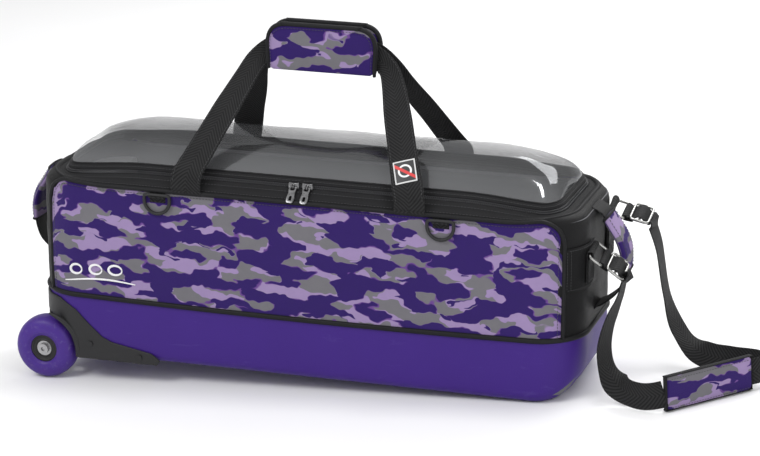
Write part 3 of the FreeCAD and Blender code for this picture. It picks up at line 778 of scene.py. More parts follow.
def t_of_x(x):
    """Place on the front half of the outline at a given x."""
    over = abs(x) - (HX - CR)
    if over <= 0:
        return x
    return math.copysign(HX - CR + CR * math.asin(min(1.0, over / CR)), x)


def seam_drop(t):
    """How far the base seam hangs below its ends, along the front and the back."""
    p, n = plan_point(t)
    return -4.5 * max(0.0, 1 - (p.x / PANEL_HALF) ** 2) * abs(n.y)


def on_outline(t, inset, z):
    return Vector((*plan_point(t, inset)[0], z))


def outward_at(t, level=1.0, rise=0.0):
    """Direction that looks out of the wall, tilted up if asked."""
    return Vector((*(plan_point(t)[1] * level), rise))


def span(t0, t1, step):
    count = max(2, int(round((t1 - t0) / step)))
    return [t0 + (t1 - t0) * k / count for k in range(count + 1)]


def wall_sheet(ts, low, high, rows, out):
    """Upright fabric: out(t, v, z) says how far it stands outside the outline."""
    lines = []
    for i in range(rows + 1):
        v = i / rows
        line = []
        for t in ts:
            z = low(t) + (high(t) - low(t)) * v
            p, n = plan_point(t, -out(t, v, z))
            line.append(Vector((p.x, p.y, z)))
        lines.append(line)
    return skin(lines)


def panel_top(t):
    """Upper edge of a decorated panel, with its rounded corners."""
    over = abs(plan_point(t)[0].x) - (PANEL_HALF - PANEL_ROUND)
    if over <= 0:
        return WALL_TOP
    return WALL_TOP - PANEL_ROUND + math.sqrt(max(0.0, PANEL_ROUND ** 2 - min(over, PANEL_ROUND) ** 2))


def panel_out(t, v, z):
    p, n = plan_point(t)
    swell = 1.7 * math.sin(math.pi * min(1.0, max(0.0, v))) ** 0.7
    return 0.15 + swell + 0.6 * ripple((p.x, p.y, z), 90.0, 3.1) * math.sin(math.pi * v)


def end_out(t, v, z):
    p, n = plan_point(t)
    edge = math.sin(math.pi * min(1.0, max(0.0, v))) ** 0.6
    near = min(1.0, abs(abs(p.x) - 340.0) / 30.0)
    folds = (2.0 * ripple((p.x + 0.6 * z, p.y + 0.9 * z, z * 0.5), 42.0, 9.3)
             + 0.8 * ripple((p.x, p.y, z), 19.0, 4.4))
    return -0.5 + edge * near * (1.2 + folds)


T_PANEL = t_of_x(PANEL_HALF)
T_ROUND = t_of_x(PANEL_HALF - PANEL_ROUND)
front_ts = span(-T_PANEL, T_PANEL, 9.0)
low_line = lambda t: BASE_TOP + 1.0 + seam_drop(t)
mesh = wall_sheet(front_ts, low_line, panel_top, 26, panel_out)
panel = add_object("camo_panel_front", mesh, "bag", CAMO, ("front_panel",))
thicken(panel, 1.6)
mesh = wall_sheet([LAP / 2 + t for t in front_ts], low_line, panel_top, 26, panel_out)
panel = add_object("camo_panel_back", mesh, "bag", CAMO_B, ("back_panel",))
thicken(panel, 1.6)
for side, t0, t1 in (("right", T_ROUND, LAP / 2 - T_ROUND), ("left", LAP / 2 + T_ROUND, LAP - T_ROUND)):
    mesh = wall_sheet(span(t0, t1, 6.0), low_line, lambda t: WALL_TOP, 34, end_out)
    end = add_object("nylon_end_" + side, mesh, "bag", NYLON, ("end_panel_" + side,))
    thicken(end, 1.4)


# ---------------------------------------------------------------- piping and seams
def outline_line(pairs, inset, half=0.0):
    """3-D line on the outline; pairs hold (t, z)."""
    out = []
    for t, z in pairs:
        p, n = plan_point(t + half, inset)
        out.append(Vector((p.x, p.y, z)))
    return out


def panel_path(grow=0.0, step=7.0):
    """The panel's edge as (t, z): up one side, along the top and down the other."""
    pairs = []
    edge = PANEL_HALF + grow
    top = WALL_TOP + grow
    r = PANEL_ROUND + grow
    low = BASE_TOP + 3.0
    count = int((top - r - low) / step)
    for k in range(count):
        pairs.append((t_of_x(edge), low + (top - r - low) * k / count))
    for k in range(9):
        a = math.pi / 2 * k / 8
        pairs.append((t_of_x(edge - r + r * math.cos(a)), top - r + r * math.sin(a)))
    count = int(2 * (edge - r) / step)
    for k in range(1, count):
        pairs.append((t_of_x((edge - r) * (1 - 2 * k / count)), top))
    right = [(-t, z) for t, z in pairs[: len(pairs) - count + 1]]
    return pairs + right[::-1]


for side, half in (("front", 0.0), ("back", LAP / 2)):
    line = outline_line(panel_path(), -1.0, half)
    mesh = tube(line, 3.0, sides=10)
    add_object("panel_cord_" + side, mesh, "bag", PIPING,
               ("panel_piping",) if side == "front" else ())
    pairs = panel_path(-6.5, 4.0)
    line = outline_line(pairs, -1.2, half)
    normals = [outward_at(t + half) for t, z in pairs]
    add_object("panel_stitch_" + side, stitch_mesh(line, normals), "bag", THREAD)

ring_ts = span(0.0, LAP, 7.0)[:-1]
line = [on_outline(t, 0.2, BASE_TOP + 1.6 + seam_drop(t)) for t in ring_ts]
mesh = tube(line, 3.9, closed=True, sides=12)
add_object("base_seam_cord", mesh, "bag", PIPING, ("base_piping",))


# ---------------------------------------------------------------- zip band, teeth and lid frame
def slope_sheet(ts, stations, wave):
    """Band round the body through stations of (inset, height)."""
    rows = []
    for i, (inset, z) in enumerate(stations):
        mid = math.sin(math.pi * i / (len(stations) - 1))
        row = []
        for t in ts:
            p, n = plan_point(t, inset)
            lift = wave * mid * ripple((p.x, p.y, 0), 40.0, 6.0 + i * 0.13)
            row.append(Vector((p.x + n.x * lift, p.y + n.y * lift, z + lift)))
        rows.append(row)
    return skin(rows, closed=True)


band_stations = [(0.4, 258.4), (2.2, 261.2), (5.0, 264.2), (8.6, 267.2), (9.0, 268.6), (12.4, 270.9),
                 (15.8, 273.0), (18.6, 274.2)]
ring_fine = span(0.0, LAP, 8.0)[:-1]
mesh = slope_sheet(ring_fine, band_stations, wave=0.2)
piece = add_object("zip_band_cloth", mesh, "bag", BINDING, ("zip_band",))
thicken(piece, 1.6)
for k, (inset, z) in enumerate(((2.4, 262.2), (10.2, 270.4))):
    line = [on_outline(t, inset, z) for t in span(0.0, LAP, 6.0)]
    normals = [outward_at(t, 0.6, 0.8) for t in span(0.0, LAP, 6.0)]
    add_object("zip_band_stitch_%d" % k, stitch_mesh(line, normals), "bag", THREAD)


TEETH_END = 97.0   # y at which the teeth stop; from there on, the hinge cloth joins band and lid
TOOTH = 3.0        # pitch of the teeth


def teeth_mesh(inset, z, shift):
    """Moulded teeth of one side of the zip, one by one along its tape."""
    verts = []
    faces = []
    uvs = []
    for k in range(int(LAP / TOOTH)):
        t = shift + k * TOOTH
        p, n = plan_point(t, inset)
        if p.y > TEETH_END:
            continue
        along = Vector((-n.y, n.x, 0.0))
        out = Vector((n.x, n.y, 0.0))
        base = Vector((p.x, p.y, z))
        start = len(verts)
        for a, o, h in ((-0.95, -1.3, -1.0), (0.95, -1.3, -1.0), (0.95, 1.3, -1.0), (-0.95, 1.3, -1.0),
                        (-0.7, -0.9, 1.0), (0.7, -0.9, 1.0), (0.7, 0.9, 1.0), (-0.7, 0.9, 1.0)):
            verts.append(base + along * a + out * o + Vector((0, 0, h)))
            uvs.append((t * MM, h * MM))
        for f in ((3, 2, 1, 0), (4, 5, 6, 7), (0, 1, 5, 4), (1, 2, 6, 5), (2, 3, 7, 6), (3, 0, 4, 7)):
            faces.append(tuple(start + i for i in f))
    return mesh_of(verts, faces, uvs)


add_object("zip_teeth_body", teeth_mesh(ZIP_IN, 275.3, 0.0), "bag", COIL,
           ("zip_teeth_lower",))
add_object("zip_teeth_lid", teeth_mesh(ZIP_IN + 0.9, 277.8, TOOTH / 2), "lid", COIL,
           ("zip_teeth_upper",))
frame_stations = [(20.6, 279.2), (21.2, 280.6), (22.4, 282.2), (24.2, 284.0), (26.0, 285.4), (27.6, 286.2)]
mesh = slope_sheet(ring_fine, frame_stations, wave=0.4)
piece = add_object("lid_binding", mesh, "lid", BINDING, ("lid_frame",))
thicken(piece, 1.4)
line = [on_outline(t, 27.6, 286.4) for t in span(0.0, LAP, 7.0)[:-1]]
add_object("lid_edge_cord", tube(line, 1.7, closed=True, sides=8), "lid", PIPING)
line = [on_outline(t, 22.6, 283.2) for t in span(0.0, LAP, 6.0)]
normals = [outward_at(t, 0.8, 0.5) for t in span(0.0, LAP, 6.0)]
add_object("lid_stitch", stitch_mesh(line, normals), "lid", THREAD)


def hinge_cloth():
    """Strip of cloth that joins the band to the lid's frame along the back."""
    rows = []
    for t in span(0.0, LAP, 8.0):
        if plan_point(t, ZIP_IN)[0].y < TEETH_END - 0.5:
            continue
        row = []
        for inset, z in ((17.8, 273.6), (18.6, 276.0), (19.6, 278.2), (21.0, 280.6),
                         (22.4, 280.0), (21.0, 277.8), (20.0, 275.8), (19.4, 273.4)):
            row.append(on_outline(t, inset, z))
        rows.append(row)
    mesh = skin(rows, closed=True)
    piece = add_object("lid_hinge_cloth", mesh, None, BINDING)
    soft_top.append(piece)
    return piece


hinge_strip = hinge_cloth()


def loop_points(hx, hy, r, z):
    """Rounded rectangle with the same count of points whatever its size."""
    nx, ny, na = 44, 8, 8   # points along a long side, along a short side and round a corner
    out = []
    a, b = hx - r, hy - r
    for cx, cy, size, count, way in ((-a, -hy, 2 * a, nx, (1, 0)), (hx, -b, 2 * b, ny, (0, 1)),
                                     (a, hy, 2 * a, nx, (-1, 0)), (-hx, b, 2 * b, ny, (0, -1))):
        for k in range(count):
            out.append(Vector((cx + way[0] * size * k / count, cy + way[1] * size * k / count, z)))
        corner = Vector((cx + way[0] * size, cy + way[1] * size, z))
        inner = corner + Vector((-way[1], way[0], 0)) * r
        for k in range(na):
            th = math.pi / 2 * k / na
            out.append(inner + Vector((way[1], -way[0], 0)) * (r * math.cos(th))
                       + Vector((way[0], way[1], 0)) * (r * math.sin(th)))
    return out


LID_RIM = 285.2


def window_rows():
    """Rings of the vinyl dome, from its rim to its ridge; its left end leans in further."""
    inset = ZIP_IN + 7.6
    hy = HY - inset
    bow = (hy * hy + DOME * DOME) / (2 * DOME)
    rows = []
    count = 18
    for k in range(count + 1):
        share = math.sin(math.pi / 2 * k / count)
        half = math.sqrt(max(0.0, bow ** 2 - (bow - DOME + share * DOME) ** 2))
        half = max(half, 0.02)
        end = HX - inset - 90.0 * (1 - math.sqrt(max(0.0, 1 - share ** 2)))
        r = min(CR - inset, 0.95 * half)
        rows.append(loop_points(end, half, r, LID_RIM + share * (LID_TOP + DOME - 0.4 - LID_RIM)))
    for i, row in enumerate(rows):
        grow = min(1.0, i / 4.0)
        lean = 0.22 * (1 - math.sqrt(max(0.0, 1 - math.sin(math.pi / 2 * i / count) ** 2)))
        for p in row:
            if p.x < 0:
                p.x *= 1 - lean
            wave = 2.6 * ripple((p.x, p.y * 2.2, 0), 85.0, 5.5)
            wave += 1.2 * ripple((p.x * 0.8, p.y * 1.4, 0), 38.0, 2.2)
            p.z += grow * (wave - 1.5)
    return rows


mesh = skin(window_rows(), closed=True, weld=0.05)
window = add_object("vinyl_window", mesh, "lid", VINYL, ("lid_window",))
smooth(window)


# ---------------------------------------------------------------- base, wheel housing
def tub_rows():
    """Rings from the seam down the side, round the lower edge and in to the middle."""
    rows = [[] for _ in range(16)]
    for t in ring_fine:
        p, n = plan_point(t)
        nose = max(0.0, n.x) ** 2
        r = 14.0 + 41.0 * nose
        top = BASE_TOP + seam_drop(t)
        line = []
        for k in range(5):
            z = top + (r - top) * k / 5
            bulge = 0.8 * math.sin(math.pi * k / 5)
            q, _ = plan_point(t, 0.8 - bulge)
            line.append(Vector((q.x, q.y, z)))
        for k in range(7):
            a = math.pi / 2 * k / 6
            q, _ = plan_point(t, 0.8 + r * (1 - math.cos(a)))
            line.append(Vector((q.x, q.y, r * (1 - math.sin(a)))))
        last = line[-1]
        spine = Vector((max(-335.0, min(335.0, p.x)), 0.0, 0.0))
        for k in range(1, 5):
            line.append(last.lerp(spine, k / 4))
        for row, q in zip(rows, line):
            row.append(q)
    return rows


def evaluated(obj):
    """The object's mesh with its modifiers worked in."""
    deps = bpy.context.evaluated_depsgraph_get()
    return bpy.data.meshes.new_from_object(obj.evaluated_get(deps))


def cut(obj, name, tool_mesh):
    """Takes a shape away from an object for good, with the object's other modifiers worked in."""
    tool = link(name, tool_mesh)
    mod = obj.modifiers.new(name, "BOOLEAN")
    mod.operation = "DIFFERENCE"
    mod.solver = "EXACT"
    mod.object = tool
    result = evaluated(obj)
    obj.modifiers.clear()
    obj.data = result
    bpy.data.objects.remove(tool)


WELL_R = 54.3
mesh = skin(tub_rows(), closed=True, weld=0.05)
outward(mesh)
base = add_object("coated_base", mesh, "bag", COATED, ("base_tray",))
thicken(base, 2.6)
for side in (-1, 1):
    profile = [(0.0, 0.01), (0.0, WELL_R), (84.0, WELL_R), (84.0, 0.01)]
    cutter = lathe(profile, Vector((AXLE_X, side * 56.0, AXLE_Z)), Vector((0, side, 0)), 48)
    cutter.transform(STAND @ Matrix.Scale(MM, 4))
    cut(base, "well_cutter", cutter)
for v in base.data.vertices:
    v.co.z = max(v.co.z, 0.0004)
for p in base.data.polygons:
    p.use_smooth = True
base.data.set_sharp_from_angle(angle=math.radians(50))


def softened(name, node, voxel, rounds, body, look):
    """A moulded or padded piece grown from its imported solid, with soft edges."""
    source = link(name + "_source", frame["nodes"][node].data.copy())
    mod = source.modifiers.new("remesh", "REMESH")
    mod.mode = "VOXEL"
    mod.voxel_size = voxel * MM
    mod = source.modifiers.new("soft", "SMOOTH")
    mod.factor = 0.5
    mod.iterations = rounds
    mesh = evaluated(source)
    bpy.data.objects.remove(source)
    mesh.materials.clear()
    obj = link(name, mesh, look)
    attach(obj, body)
    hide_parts(node)
    return obj


def arch_share(s):
    """0 at both ends of a line and 1 in its middle."""
    return math.sin(math.pi * min(1, max(0, s)))


RIDGE_R = 56.5   # of the raised ridge that follows the wheel's arch
softened("wheel_guard", "wheel_housing", 1.7, 4, "bag", PLASTIC)
for name, side in SIDES:
    ridge = []
    for k in range(25):
        a = math.radians(79.0 - 86.0 * k / 24)
        ridge.append(Vector((AXLE_X + RIDGE_R * math.cos(a), side * 120.2, AXLE_Z + RIDGE_R * math.sin(a))))
    mesh = tube(ridge, lambda s: 0.8 + 3.7 * math.sqrt(arch_share(s)), sides=14)
    add_object("guard_ridge_" + name, mesh, "bag", PLASTIC)


# ---------------------------------------------------------------- wheels
def wheel(name, side):
    """Tyre and core of one wheel, as profiles of (distance along the axle, radius)."""
    centre = Vector((AXLE_X, 0.0, AXLE_Z))
    axis = Vector((0, -side, 0))
    out, inn = 122.0, 79.0   # outer and inner face of the tyre
    tyre = [(inn + 1, 20.2), (inn + 1, 30.0), (inn + 5, 40.5), (inn + 10, 44.6), (inn + 16, 46.0),
            (out - 16, 46.0), (out - 9, 44.4), (out - 3.5, 40.0), (out - 0.2, 31.0), (out - 0.6, 24.5),
            (out - 3.2, 21.0), (out - 3.2, 20.2)]
    mesh = lathe(rounded_profile(tyre, 5.0, 3), centre, axis, 96)
    add_object("tyre_" + name, mesh, "wheel_" + name, URETHANE, ("wheel_tyre_" + name,))
    core = [(inn + 2, 12.0), (inn + 2, 20.0), (out - 4.5, 20.0), (out - 4.5, 17.6), (out - 6.0, 16.6),
            (out - 6.0, 13.4), (out - 5.0, 12.4), (out - 5.0, 11.05), (out - 13.0, 11.05), (out - 13.0, 8.2),
            (inn + 10.5, 8.2), (inn + 10.5, 11.05), (inn + 2, 11.05)]
    mesh = lathe(rounded_profile(core, 0.6, 2), centre, axis, 72)
    add_object("core_" + name, mesh, "wheel_" + name, PLASTIC, ("wheel_core_" + name,))


wheel("front", 1)
wheel("back", -1)


# ---------------------------------------------------------------- carry straps and grip
STRAP_W = 50.0
STRAP_X = 163      # where the straps are sewn to the zip band
GRIP_Z = 446.0


def carry_line(side):
    """Centre line and width directions of one carry strap; side is -1 for the front."""
    leg = [(-STRAP_X, 124.4, 262.5), (-STRAP_X, 124.6, 274), (-160.5, 122.0, 289), (-151, 104, 311),
           (-137, 77, 344), (-122, 48, 378), (-109, 23, 407), (-98, 9.5, 428), (-83, 6.2, 441), (-66, 5.4, 446.5),
           (-40, 5.2, 448)]
    pts = [Vector((x, side * y, z)) for x, y, z in leg]
    pts += [Vector((0, side * 5.2, 448))]
    pts += [Vector((-x, side * y, z)) for x, y, z in leg[::-1]]
    line = sampled(pts, 6.0)
    sides = []
    for p in line:
        share = ease((abs(p.x) - 58.0) / 62.0)
        level = Vector((1.0 if p.x < 0 else -1.0, 0, 0))
        down = Vector((0, 0, -1.0))
        sides.append(down.lerp(level, share).normalized())
    return line, sides


CORNERS = ((-1, -1), (1, -1), (1, 1), (-1, 1))


def cross_box(centre, right, up, half_w, half_h):
    """Sewn rectangle with a cross in it, as holds webbing down."""
    normal = right.cross(up).normalized()
    corner = [centre + right * (sx * half_w) + up * (sy * half_h) for sx, sy in CORNERS]
    meshes = []
    for a, b in ((0, 1), (1, 2), (2, 3), (3, 0), (0, 2), (1, 3)):
        meshes.append(stitch_mesh([corner[a], corner[b]], [normal, normal], 2.8, 1.1, 0.4))
    return join_meshes(meshes)


for name, side in SIDES:
    line, sides = carry_line(side)
    widths = []
    for p in line:
        low = ease((162.0 - abs(p.x)) / 26.0)
        near = ease(1.0 - abs(abs(p.x) - 94.0) / 36.0)
        widths.append(STRAP_W - 6.0 - 4.0 * low - 10.0 * near)   # drawn in above the roots and at the grip
    mesh = ribbon(line, sides, widths, 2.2)
    add_object("carry_webbing_" + name, mesh, "handle_" + name, WEB, ("carry_strap_" + name,))
    seams = []
    for edge in (-21.5, 21.5):
        run = []
        normals = []
        tan = tangents(line)
        for p, s, tn, wide in zip(line, sides, tan, widths):
            if abs(p.x) < 84 or p.z < 272.0:
                continue
            across = (s - tn * s.dot(tn)).normalized()
            up = tn.cross(across)
            if up.y * side < 0:
                up = -up
            run.append(p + across * (edge * wide / STRAP_W) + up * 1.15)
            normals.append(up)
        left = [(p, n) for p, n in zip(run, normals) if p.x < 0]
        right = [(p, n) for p, n in zip(run, normals) if p.x > 0]
        for part in (left, right):
            seams.append(stitch_mesh([p for p, n in part], [n for p, n in part]))
    add_object("carry_stitch_" + name, join_meshes(seams), "handle_" + name, THREAD)
    for k, x in enumerate((-STRAP_X, STRAP_X)):
        tab = ((119.2, 254.0), (121.2, 257.0), (124.0, 260.0), (124.4, 263.0))
        line = sampled([Vector((x, side * y, z)) for y, z in tab], 2.0)
        mesh = ribbon(line, [X_AXIS] * len(line), STRAP_W - 6.0, 2.0)
        add_object("strap_root_%s_%d" % (name, k), mesh, "bag", WEB)


def block_mesh(outline, y0, y1, bevel=0.0, segments=3):
    """Solid with an outline in X and Z, from y0 to y1, its edges rounded."""
    bm = bmesh.new()
    near = [bm.verts.new((x, y0, z)) for x, z in outline]
    far = [bm.verts.new((x, y1, z)) for x, z in outline]
    n = len(outline)
    bm.faces.new(near)
    bm.faces.new(far[::-1])
    for i in range(n):
        j = (i + 1) % n
        bm.faces.new((near[j], near[i], far[i], far[j]))
    bmesh.ops.recalc_face_normals(bm, faces=bm.faces)
    if bevel:
        edges = [e for e in bm.edges if abs(e.verts[0].co.y - e.verts[1].co.y) < 1e-6]
        bmesh.ops.bevel(bm, geom=edges, offset=bevel, segments=segments, affect="EDGES", profile=0.5)
    mesh = bpy.data.meshes.new("piece")
    bm.to_mesh(mesh)
    bm.free()
    return mesh


def puffed(mesh, cap, voxel=4.0, pressure=4.0, hold=None):
    """Swells a closed shape given in millimetres as stuffing does, by a short cloth simulation."""
    mesh.transform(Matrix.Scale(MM, 4))
    obj = link("stuffing", mesh)
    mod = obj.modifiers.new("remesh", "REMESH")
    mod.mode = "VOXEL"
    mod.voxel_size = voxel * MM
    flat = evaluated(obj)
    obj.modifiers.clear()
    obj.data = flat
    start = [v.co.copy() for v in flat.vertices]
    if hold:
        group = obj.vertex_groups.new(name="held")
        for v in flat.vertices:
            weight = hold(v.co / MM)
            if weight > 0:
                group.add([v.index], weight, "REPLACE")
    mod = obj.modifiers.new("cloth", "CLOTH")
    mod.settings.use_pressure = True
    mod.settings.uniform_pressure_force = pressure
    mod.settings.quality = 5
    mod.settings.effector_weights.gravity = 0.0
    if hold:
        mod.settings.vertex_group_mass = "held"
    mod.collision_settings.use_collision = False
    for f in range(1, 21):
        scene.frame_set(f)
    swollen = evaluated(obj)
    obj.modifiers.clear()
    scene.frame_set(1)
    for v, w, p in zip(flat.vertices, swollen.vertices, start):
        move = w.co - p
        if move.length > cap * MM:
            move = move.normalized() * cap * MM
        v.co = p + move
    bpy.data.meshes.remove(swollen)
    bpy.data.objects.remove(obj)
    flat.transform(Matrix.Scale(1 / MM, 4))
    flat.materials.clear()
    return flat


def paint_uvs(mesh, place):
    """Texture places from each corner's position and its face's direction."""
    layer = mesh.uv_layers.get("UVMap") or mesh.uv_layers.new(name="UVMap")
    for poly in mesh.polygons:
        for i in poly.loop_indices:
            layer.data[i].uv = place(mesh.vertices[mesh.loops[i].vertex_index].co, poly.normal)


def front_uvs(p, n):
    """Seen from the front, wrapped over the upper and lower edges."""
    return (p.x * MM, (p.z - p.y * math.copysign(1.0, n.z) * (abs(n.z) > 0.7)) * MM)


GRIP_LOW, GRIP_HIGH, GRIP_HALF = 407.0, 485.0, 80.0


def grip_half(name, side):
    """Padded half of the carry grip, bound along its ends and its upper edge."""
    corners = [(-GRIP_HALF + 3, GRIP_LOW + 11), (GRIP_HALF - 3, GRIP_LOW + 11), (GRIP_HALF, GRIP_HIGH - 2),
               (-GRIP_HALF, GRIP_HIGH - 2)]
    outline = rounded_profile(corners, lambda i: 4.0 if i < 2 else 31.0, 6)
    y0, y1 = sorted((side * 9.0, side * 15.6))
    mesh = block_mesh(outline, y0, y1, 2.2, 2)

    def hold(p):
        edge = min(GRIP_HALF - abs(p.x), GRIP_HIGH - p.z, p.z - GRIP_LOW - 11)
        return 1.0 if edge < 7.0 or abs(p.y) < 10.0 else 0.0

    mesh = puffed(mesh, 6.0, 3.4, 5.0, hold)
    for v in mesh.vertices:
        if abs(v.co.y) > 11:
            v.co.y += side * 0.5 * ripple(v.co, 22.0, 8.0 + side)
    paint_uvs(mesh, front_uvs)
    pad = add_object("grip_cover_" + name, mesh, "handle_" + name, CAMO, ("grip_pad_" + name,))
    smooth(pad)
    rim = rounded_profile([(-GRIP_HALF + 2, GRIP_LOW + 10), (GRIP_HALF - 2, GRIP_LOW + 10),
                           (GRIP_HALF, GRIP_HIGH - 1), (-GRIP_HALF, GRIP_HIGH - 1)],
                          lambda i: 1.0 if i < 2 else 32.0, 8)
    ring = [Vector((x, side * 12.0, z)) for x, z in rim]
    start = max(range(len(ring)), key=lambda i: ring[i].x - 3.0 * ring[i].z)
    ring = ring[start:] + ring[:start]
    over = [p for p in ring if p.z > GRIP_LOW + 12 or p is ring[0]]
    over.append(Vector((-GRIP_HALF + 2, side * 12.0, GRIP_LOW + 12.0)))
    line = sampled(over, 5.0)
    mesh = tube(line, lambda s: 3.3 if 0.02 < s < 0.98 else 2.4, sides=10)
    for v in mesh.vertices:
        v.co.y = side * (12.0 + (v.co.y * side - 12.0) * 1.45)
    add_object("grip_binding_" + name, mesh, "handle_" + name, BINDING)
    inner = [Vector((p.x * 0.945, side * 16.6, GRIP_LOW + 41 + (p.z - GRIP_LOW - 41) * 0.86)) for p in line]
    mesh = stitch_mesh(inner, [Vector((0, side, 0))] * len(inner), 3.2, 1.3, 0.4)
    add_object("grip_stitch_" + name, mesh, "handle_" + name, THREAD)


grip_half("front", -1)
grip_half("back", 1)


def tape_patch(name, cad, side, body):
    """Closure tape sewn on the inside of a grip half."""
    rows = []
    for i in range(9):
        z = GRIP_Z - 17 + 34 * i / 8
        rows.append([Vector((-66 + 132 * j / 24, side * (2.0 + 0.25 * ripple((j * 6, 0, z), 14.0, 3.0)), z))
                     for j in range(25)])
    mesh = skin(rows)
    piece = add_object(name, mesh, body, HOOK, (cad,))
    thicken(piece, 1.2, 0.0)


tape_patch("closure_hook", "grip_hook_tape", -1, "handle_front")
tape_patch("closure_loop", "grip_loop_tape", 1, "handle_back")


# ---------------------------------------------------------------- label on the front strap
def label():
    """Printed badge that follows the front strap's right leg."""
    line, sides = carry_line(-1)
    tan = tangents(line)
    best = min(range(len(line)), key=lambda i: abs(line[i].z - 309.0) + (line[i].x < 0) * 999)
    centre = line[best]
    across = (sides[best] - tan[best] * sides[best].dot(tan[best])).normalized()
    up = tan[best] if tan[best].z > 0 else -tan[best]
    normal = across.cross(up)
    if normal.y > 0:
        across = -across
        normal = -normal
    rows = []
    uvs = []
    for i in range(13):
        b = -17.0 + 34.0 * i / 12
        row = []
        for j in range(13):
            a = -15.5 + 31.0 * j / 12
            lift = 1.6 + 0.5 * math.cos(a / 10.0) + 0.15 * ripple((a, b, 0), 9.0, 1.0)
            row.append(centre + across * a + up * b + normal * lift)
            uvs.append((a * MM, b * MM))
        rows.append(row)
    mesh = skin(rows, uvs=uvs)
    piece = add_object("strap_badge", mesh, "handle_front", BADGE, ("label_patch",))
    thicken(piece, 0.9)
    edge = [centre + across * (sx * 14.4) + up * (sy * 15.9) + normal * 2.1
            for sx, sy in CORNERS + CORNERS[:1]]
    mesh = stitch_mesh(edge, [normal] * 5, 2.2, 1.0, 0.3)
    add_object("strap_badge_stitch", mesh, "handle_front", PALE_THREAD)


label()


# ---------------------------------------------------------------- D-rings, sliders and pulls
D_RING_BAR = (-124.2, 252.0)   # y and z of the ring's straight bar


def d_ring_piece(name, x):
    """Ring of one bent wire: a straight bar above and a half circle below."""
    r, drop = 19.0, 8.0
    y, top = D_RING_BAR
    outline = [(x - r, top - 4), (x - r + 1, top - 1), (x - r + 4, top),
               (x + r - 4, top), (x + r - 1, top - 1), (x + r, top - 4)]
    for k in range(17):
        a = -math.pi * k / 16
        outline.append((x + r * math.cos(a), top - drop + r * math.sin(a)))
    pts = [Vector((px, y, pz)) for px, pz in outline]
    mesh = tube(pts, 2.45, closed=True, sides=12)
    add_object("d_ring_wire_" + name, mesh, "d_ring_" + name, PLASTIC, ("d_ring_" + name,))


def d_tab_piece(name, x, cad):
    """Webbing folded over the ring's bar and sewn down below and behind it."""
    y, top = D_RING_BAR
    r = 3.7
    line = []
    for k in range(13):
        a = math.radians(60 - 240 * k / 12)
        line.append(Vector((x, y + r * math.cos(a), top + r * math.sin(a))))
    ends = [Vector((x, -121.0, 257.6)), Vector((x, -121.0, 246.5)), Vector((x, -120.9, 240.5))]
    line = sampled(ends[:1] + line[2:11] + ends[1:], 1.5)
    mesh = ribbon(line, [X_AXIS] * len(line), 24.0, 1.6)
    add_object("d_tab_" + name, mesh, "bag", WEB, cad)


for name, x in (("left", -207.0), ("right", 207.0)):
    d_ring_piece(name, x)
    d_tab_piece(name, x, ("d_ring_tabs",) if name == "left" else ())

PULL_Y, PULL_Z = 107.7, 276.5   # where the pulls' eyes hang in the sliders' bridges, front at -Y
PULL_TILT = -46.0               # degrees that the pulls stand out from hanging straight down


def slider_piece(name, x):
    """Cast slider: a waisted plate, raised wings and an arched bridge."""
    outline = rounded_profile([(x - 7.5, 273.6), (x - 3, 273.2), (x + 3, 273.2), (x + 7.5, 273.6),
                               (x + 8.0, 278), (x + 7.0, 282.6), (x + 2.5, 281.6), (x - 2.5, 281.6),
                               (x - 7.0, 282.6), (x - 8.0, 278)], 1.6, 3)
    plate = block_mesh(outline, -106.2, -102.9, 0.7, 2)
    arch = ((-105.6, 273.9), (-108.6, 273.7), (-110.4, 275.0), (-110.9, 276.8), (-110.2, 278.8), (-108.2, 280.0),
            (-105.6, 280.0))
    line = sampled([Vector((x, y, z)) for y, z in arch], 0.8)
    bridge = ribbon(line, [X_AXIS] * len(line), 3.4, 1.3)
    mesh = join_meshes([plate, bridge])
    add_object("zip_runner_" + name, mesh, "slider_" + name, ZIP_METAL, ("zip_slider_" + name,))


def pull_piece(name, x):
    """Pull tab: an eye at the bar, a waist, and a broad end with a long hole."""
    half = [(5.4, 0.9), (5.5, -2.0), (5.3, -5.5), (4.5, -8.5), (4.9, -12.0), (5.7, -17.0), (5.7, -21.5),
            (4.6, -24.6), (2.4, -25.6)]
    outer = rounded_profile(half + [(-px, pz) for px, pz in half[::-1]], 1.4, 3)
    mesh = block_mesh(outer, -0.9, 0.9, 0.35, 2)
    obj = link("tab", mesh)
    holes = [rounded_profile([(-3.3, -0.9), (3.3, -0.9), (3.0, -5.6), (-3.0, -5.6)], 1.2, 3),
             rounded_profile([(-1.9, -14.5), (1.9, -14.5), (2.2, -22.0), (-2.2, -22.0)], 1.9, 4)]
    for hole in holes:
        cut(obj, "hole", block_mesh(hole, -3, 3))
    mesh = obj.data
    bpy.data.objects.remove(obj)
    bar = tube([Vector((px, 0, 0)) for px in (-5.4, -2, 2, 5.4)], 0.95, sides=12)
    mesh = join_meshes([mesh, bar])
    mesh.transform(Matrix.Translation((x, -PULL_Y, PULL_Z)) @ Matrix.Rotation(math.radians(PULL_TILT), 4, "X"))
    piece = add_object("zip_tab_" + name, mesh, "pull_" + name, ZIP_METAL, ("zip_pull_" + name,))
    piece.data.set_sharp_from_angle(angle=math.radians(38))


for name, x in (("left", -10.0), ("right", 10.0)):
    slider_piece(name, x)
    pull_piece(name, x)


# ---------------------------------------------------------------- end handles
END_LINE = [(399.6, 252.0), (403.0, 249.5), (412.0, 242.0), (430.0, 218.0), (439.0, 194.0), (440.0, 166.0),
            (432.0, 140.0), (412.0, 121.0), (403.0, 116.5), (399.4, 112.0)]


